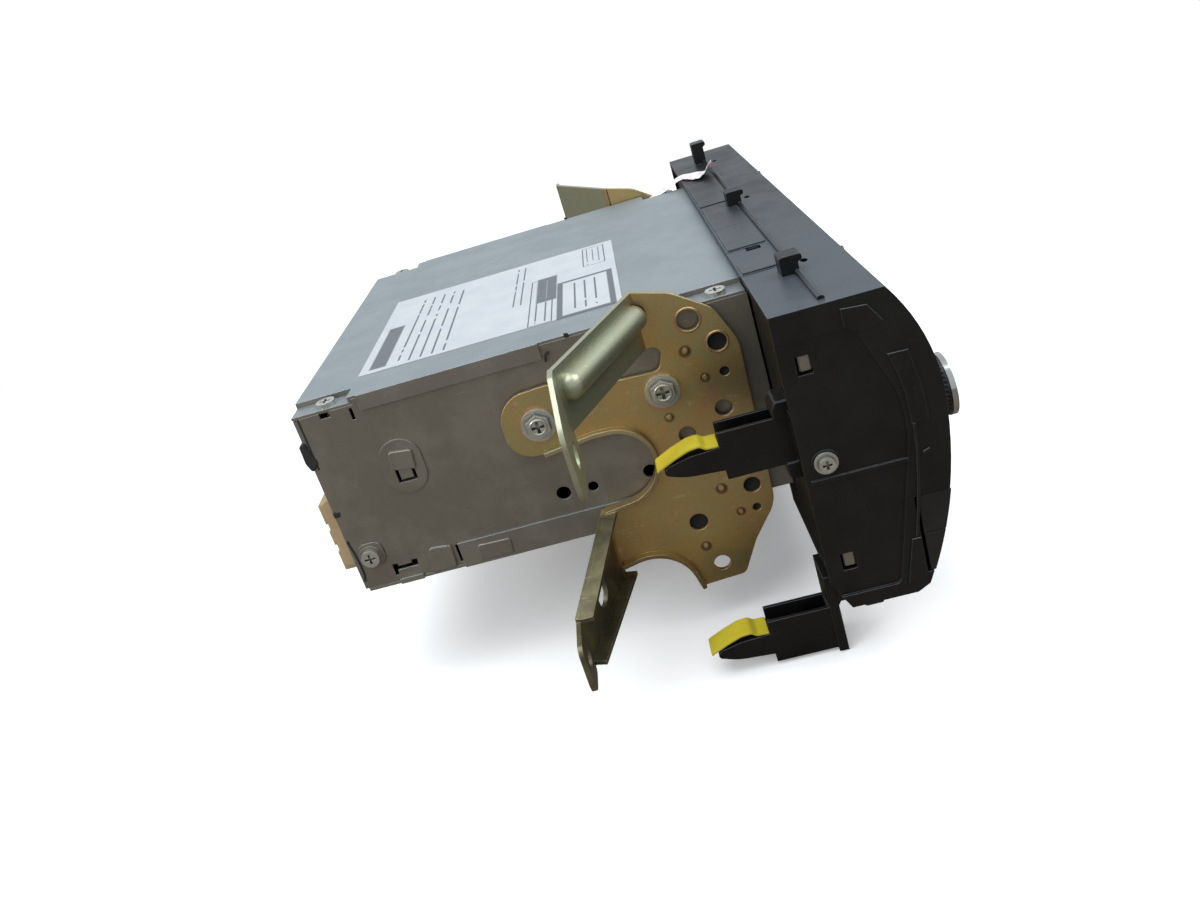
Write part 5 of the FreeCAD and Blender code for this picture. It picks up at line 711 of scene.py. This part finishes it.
# marks on the front: thin prints and ridges that lie on the surface of a piece
def mark(name, facts):
    host = nodes[facts["on"]]
    spots = [host.matrix_world @ v.co for v in host.data.vertices]
    surface = BVHTree.FromPolygons(spots, [p.vertices[:] for p in host.data.polygons])
    proud = facts.get("proud", 0.06)
    form = bmesh.new()
    front = []
    for x, z in facts["outline"]:
        hit = surface.ray_cast(at(x, frontStart, z), Vector((0, 1, 0)))[0]  # straight back from there
        front.append(form.verts.new(hit - Vector((0, proud, 0)) * milli))
    grown = bmesh.ops.extrude_face_region(form, geom=[form.faces.new(front)])["geom"]
    bmesh.ops.translate(form, verts=cornersOf(grown), vec=(0, markDepth * milli, 0))
    bmesh.ops.recalc_face_normals(form, faces=form.faces)
    clad(name, meshOf(form, name), facts.get("slot", "white_plastic"), facts.get("body", "unit"))


def box(x, z, wide, high):
    a, b = wide / 2, high / 2
    return [(x - a, z - b), (x + a, z - b), (x + a, z + b), (x - a, z + b)]


def triangle(x, z, size, turn):  # a filled triangle that points up, turned clockwise by whole degrees
    spots = [math.radians(turn + 120 * k) for k in range(3)]
    return [(x + size * math.sin(t), z + size * math.cos(t)) for t in spots]


dialTicks = {
    "x": 108, "z": 31.3, "inner": 12.6, "outer": 14.4, "wide": 0.45, "count": 11, "first": -135, "step": 27}
sideMarks = {"x": 116.5, "up": 5, "down": -8, "size": 1.7}
presetBars = {"x": -47.2, "z": 19.2, "pitch": 19, "wide": 5, "high": 0.6, "count": 6}
slotTrim = {"corners": [(-63.6, 56.6), (63.6, 56.6), (63.6, 64.4), (-63.6, 64.4)], "wide": 0.8, "proud": 0.35}
ejectMarks = {"x": 82, "arrow": 61, "size": 1.6, "bar": 59.1, "wide": 2.9, "high": 0.6}


def frontMarks(dial, keys, bars, trim, eject):
    for side, name in ((-1, "left"), (1, "right")):
        centre = Vector((dial["x"] * side, dial["z"]))
        for k in range(dial["count"]):
            angle = math.radians(dial["first"] + dial["step"] * k)
            way = Vector((math.sin(angle), math.cos(angle)))
            tick = band([centre + way * dial["inner"], centre + way * dial["outer"]], dial["wide"])
            mark(f"dial_tick_{name}_{k + 1}", {"on": "face_panel", "outline": tick})
        up = triangle(keys["x"] * side, keys["up"], keys["size"], 0)
        down = triangle(keys["x"] * side, keys["down"], keys["size"], 180)
        upper, lower = f"{name}_upper_button", f"{name}_lower_button"
        mark(f"up_mark_{name}", {"on": upper, "outline": up, "body": upper + "_key"})
        mark(f"down_mark_{name}", {"on": lower, "outline": down, "body": lower + "_key"})
    for k in range(bars["count"]):
        key = f"preset_button_{k + 1}"
        bar = box(bars["x"] + bars["pitch"] * k, bars["z"], bars["wide"], bars["high"])
        mark(f"preset_bar_{k + 1}", {"on": key, "outline": bar, "body": key + "_key"})
    for k in range(4):
        ridge = band([trim["corners"][k], trim["corners"][(k + 1) % 4]], trim["wide"])
        mark(f"slot_trim_{k + 1}", {
            "on": "face_panel", "slot": "button_black", "proud": trim["proud"], "outline": ridge})
    arrow = triangle(eject["x"], eject["arrow"], eject["size"], 0)
    bar = box(eject["x"], eject["bar"], eject["wide"], eject["high"])
    mark("eject_arrow", {"on": "eject_button", "outline": arrow, "body": "eject_button_key"})
    mark("eject_bar", {"on": "eject_button", "outline": bar, "body": "eject_button_key"})


frontMarks(dialTicks, sideMarks, presetBars, slotTrim, ejectMarks)
print("case, bezel and front details made")

# floor: warm and dull for the light that it sends up, near white for the camera, white further out
floorReach, floorLevel = 6, sizeAtStart[0].z - 0.0005
corners = [(x * floorReach, y * floorReach, floorLevel) for x, y in ((-1, -1), (1, -1), (1, 1), (-1, 1))]
floorMesh = bpy.data.meshes.new("floor")
floorMesh.from_pydata(corners, [], [(0, 1, 2, 3)])
floor = bpy.data.objects.new("floor", floorMesh)
bpy.context.collection.objects.link(floor)
ground = Paint("floor")
seen = ground.node("ShaderNodeLightPath", {}, [], "Is Camera Ray")
drift = ground.noise(300, 2).ramp(0.3, 0.7)
away = ground.distance((0, 63.5, 0), (1, 1, 0)).ramp(0.35, 1.0)
pale = ground.mix(away, ground.mix(drift, colour("f4f4f4"), colour("f7f7f7")), (0, 0, 0, 1))
glow = ground.mix(away, (0.2, 0.2, 0.2, 1), (1, 1, 1, 1))
ground.set("Base Color", ground.mix(seen, colour("7b7268"), pale))
ground.set("Roughness", 0.9)
ground.set("Specular IOR Level", 0.0)
ground.set("Emission Color", ground.mix(seen, (0, 0, 0, 1), glow))
ground.set("Emission Strength", 1)
floorMesh.materials.append(ground.material)

# world: white for the camera, a soft cool sky for the light
world = bpy.data.worlds.new("studio")
bpy.context.scene.world = world
world.use_nodes = True
sky = world.node_tree
cameraRay = sky.nodes.new("ShaderNodeLightPath")
choice = sky.nodes.new("ShaderNodeMixShader")
white = sky.nodes.new("ShaderNodeBackground")
soft = sky.nodes["Background"]
white.inputs["Color"].default_value = (1, 1, 1, 1)
soft.inputs["Color"].default_value = (0.9, 0.95, 1, 1)
soft.inputs["Strength"].default_value = 0.8
sky.links.new(cameraRay.outputs["Is Camera Ray"], choice.inputs[0])
sky.links.new(soft.outputs[0], choice.inputs[1])
sky.links.new(white.outputs[0], choice.inputs[2])
sky.links.new(choice.outputs[0], sky.nodes["World Output"].inputs["Surface"])


def lamp(name, place, target, size, power, tone):  # a square area lamp, size in metres and power in watts
    data = bpy.data.lights.new(name, "AREA")
    data.size = size
    data.energy = power
    data.color = tone
    thing = bpy.data.objects.new(name, data)
    thing.location = place
    thing.rotation_euler = (Vector(target) - Vector(place)).to_track_quat("-Z", "Y").to_euler()
    bpy.context.collection.objects.link(thing)


lamp("lamp_top", (-0.2, 0.3, 1.5), (0, 0, 0), 1.4, 16, (0.95, 0.98, 1))
lamp("lamp_rear", (-0.9, 1.2, 0.7), (-0.1, 0, 0), 0.6, 7, (1, 0.98, 0.95))
lamp("lamp_front", (0, -1, 1.1), (0, 0, 0), 0.8, 10, (1, 1, 1))

# camera: place, directions, focal length and shift as worked out from the straight edges in the photo
cameraPlace = Vector((-0.39236, -0.03310, 0.11531))
cameraRight = Vector((0.0124376, -0.9557893, -0.2937892))
cameraDown = Vector((-0.3602171, 0.2698019, -0.8930009))
cameraAhead = Vector((0.9327856, 0.1169347, -0.3409360))
camera = bpy.data.objects.new("camera", bpy.data.cameras.new("camera"))
camera.data.sensor_width = 36
camera.data.lens = 29.036
camera.data.shift_x = 0.03964
camera.data.shift_y = -0.06691
camera.data.clip_start, camera.data.clip_end = 0.01, 50
turn = Matrix((cameraRight, -cameraDown, -cameraAhead)).transposed()
camera.matrix_world = Matrix.Translation(cameraPlace) @ turn.to_4x4()
bpy.context.collection.objects.link(camera)
bpy.context.scene.camera = camera
bpy.context.scene.view_settings.view_transform = "Standard"
print("stage set")
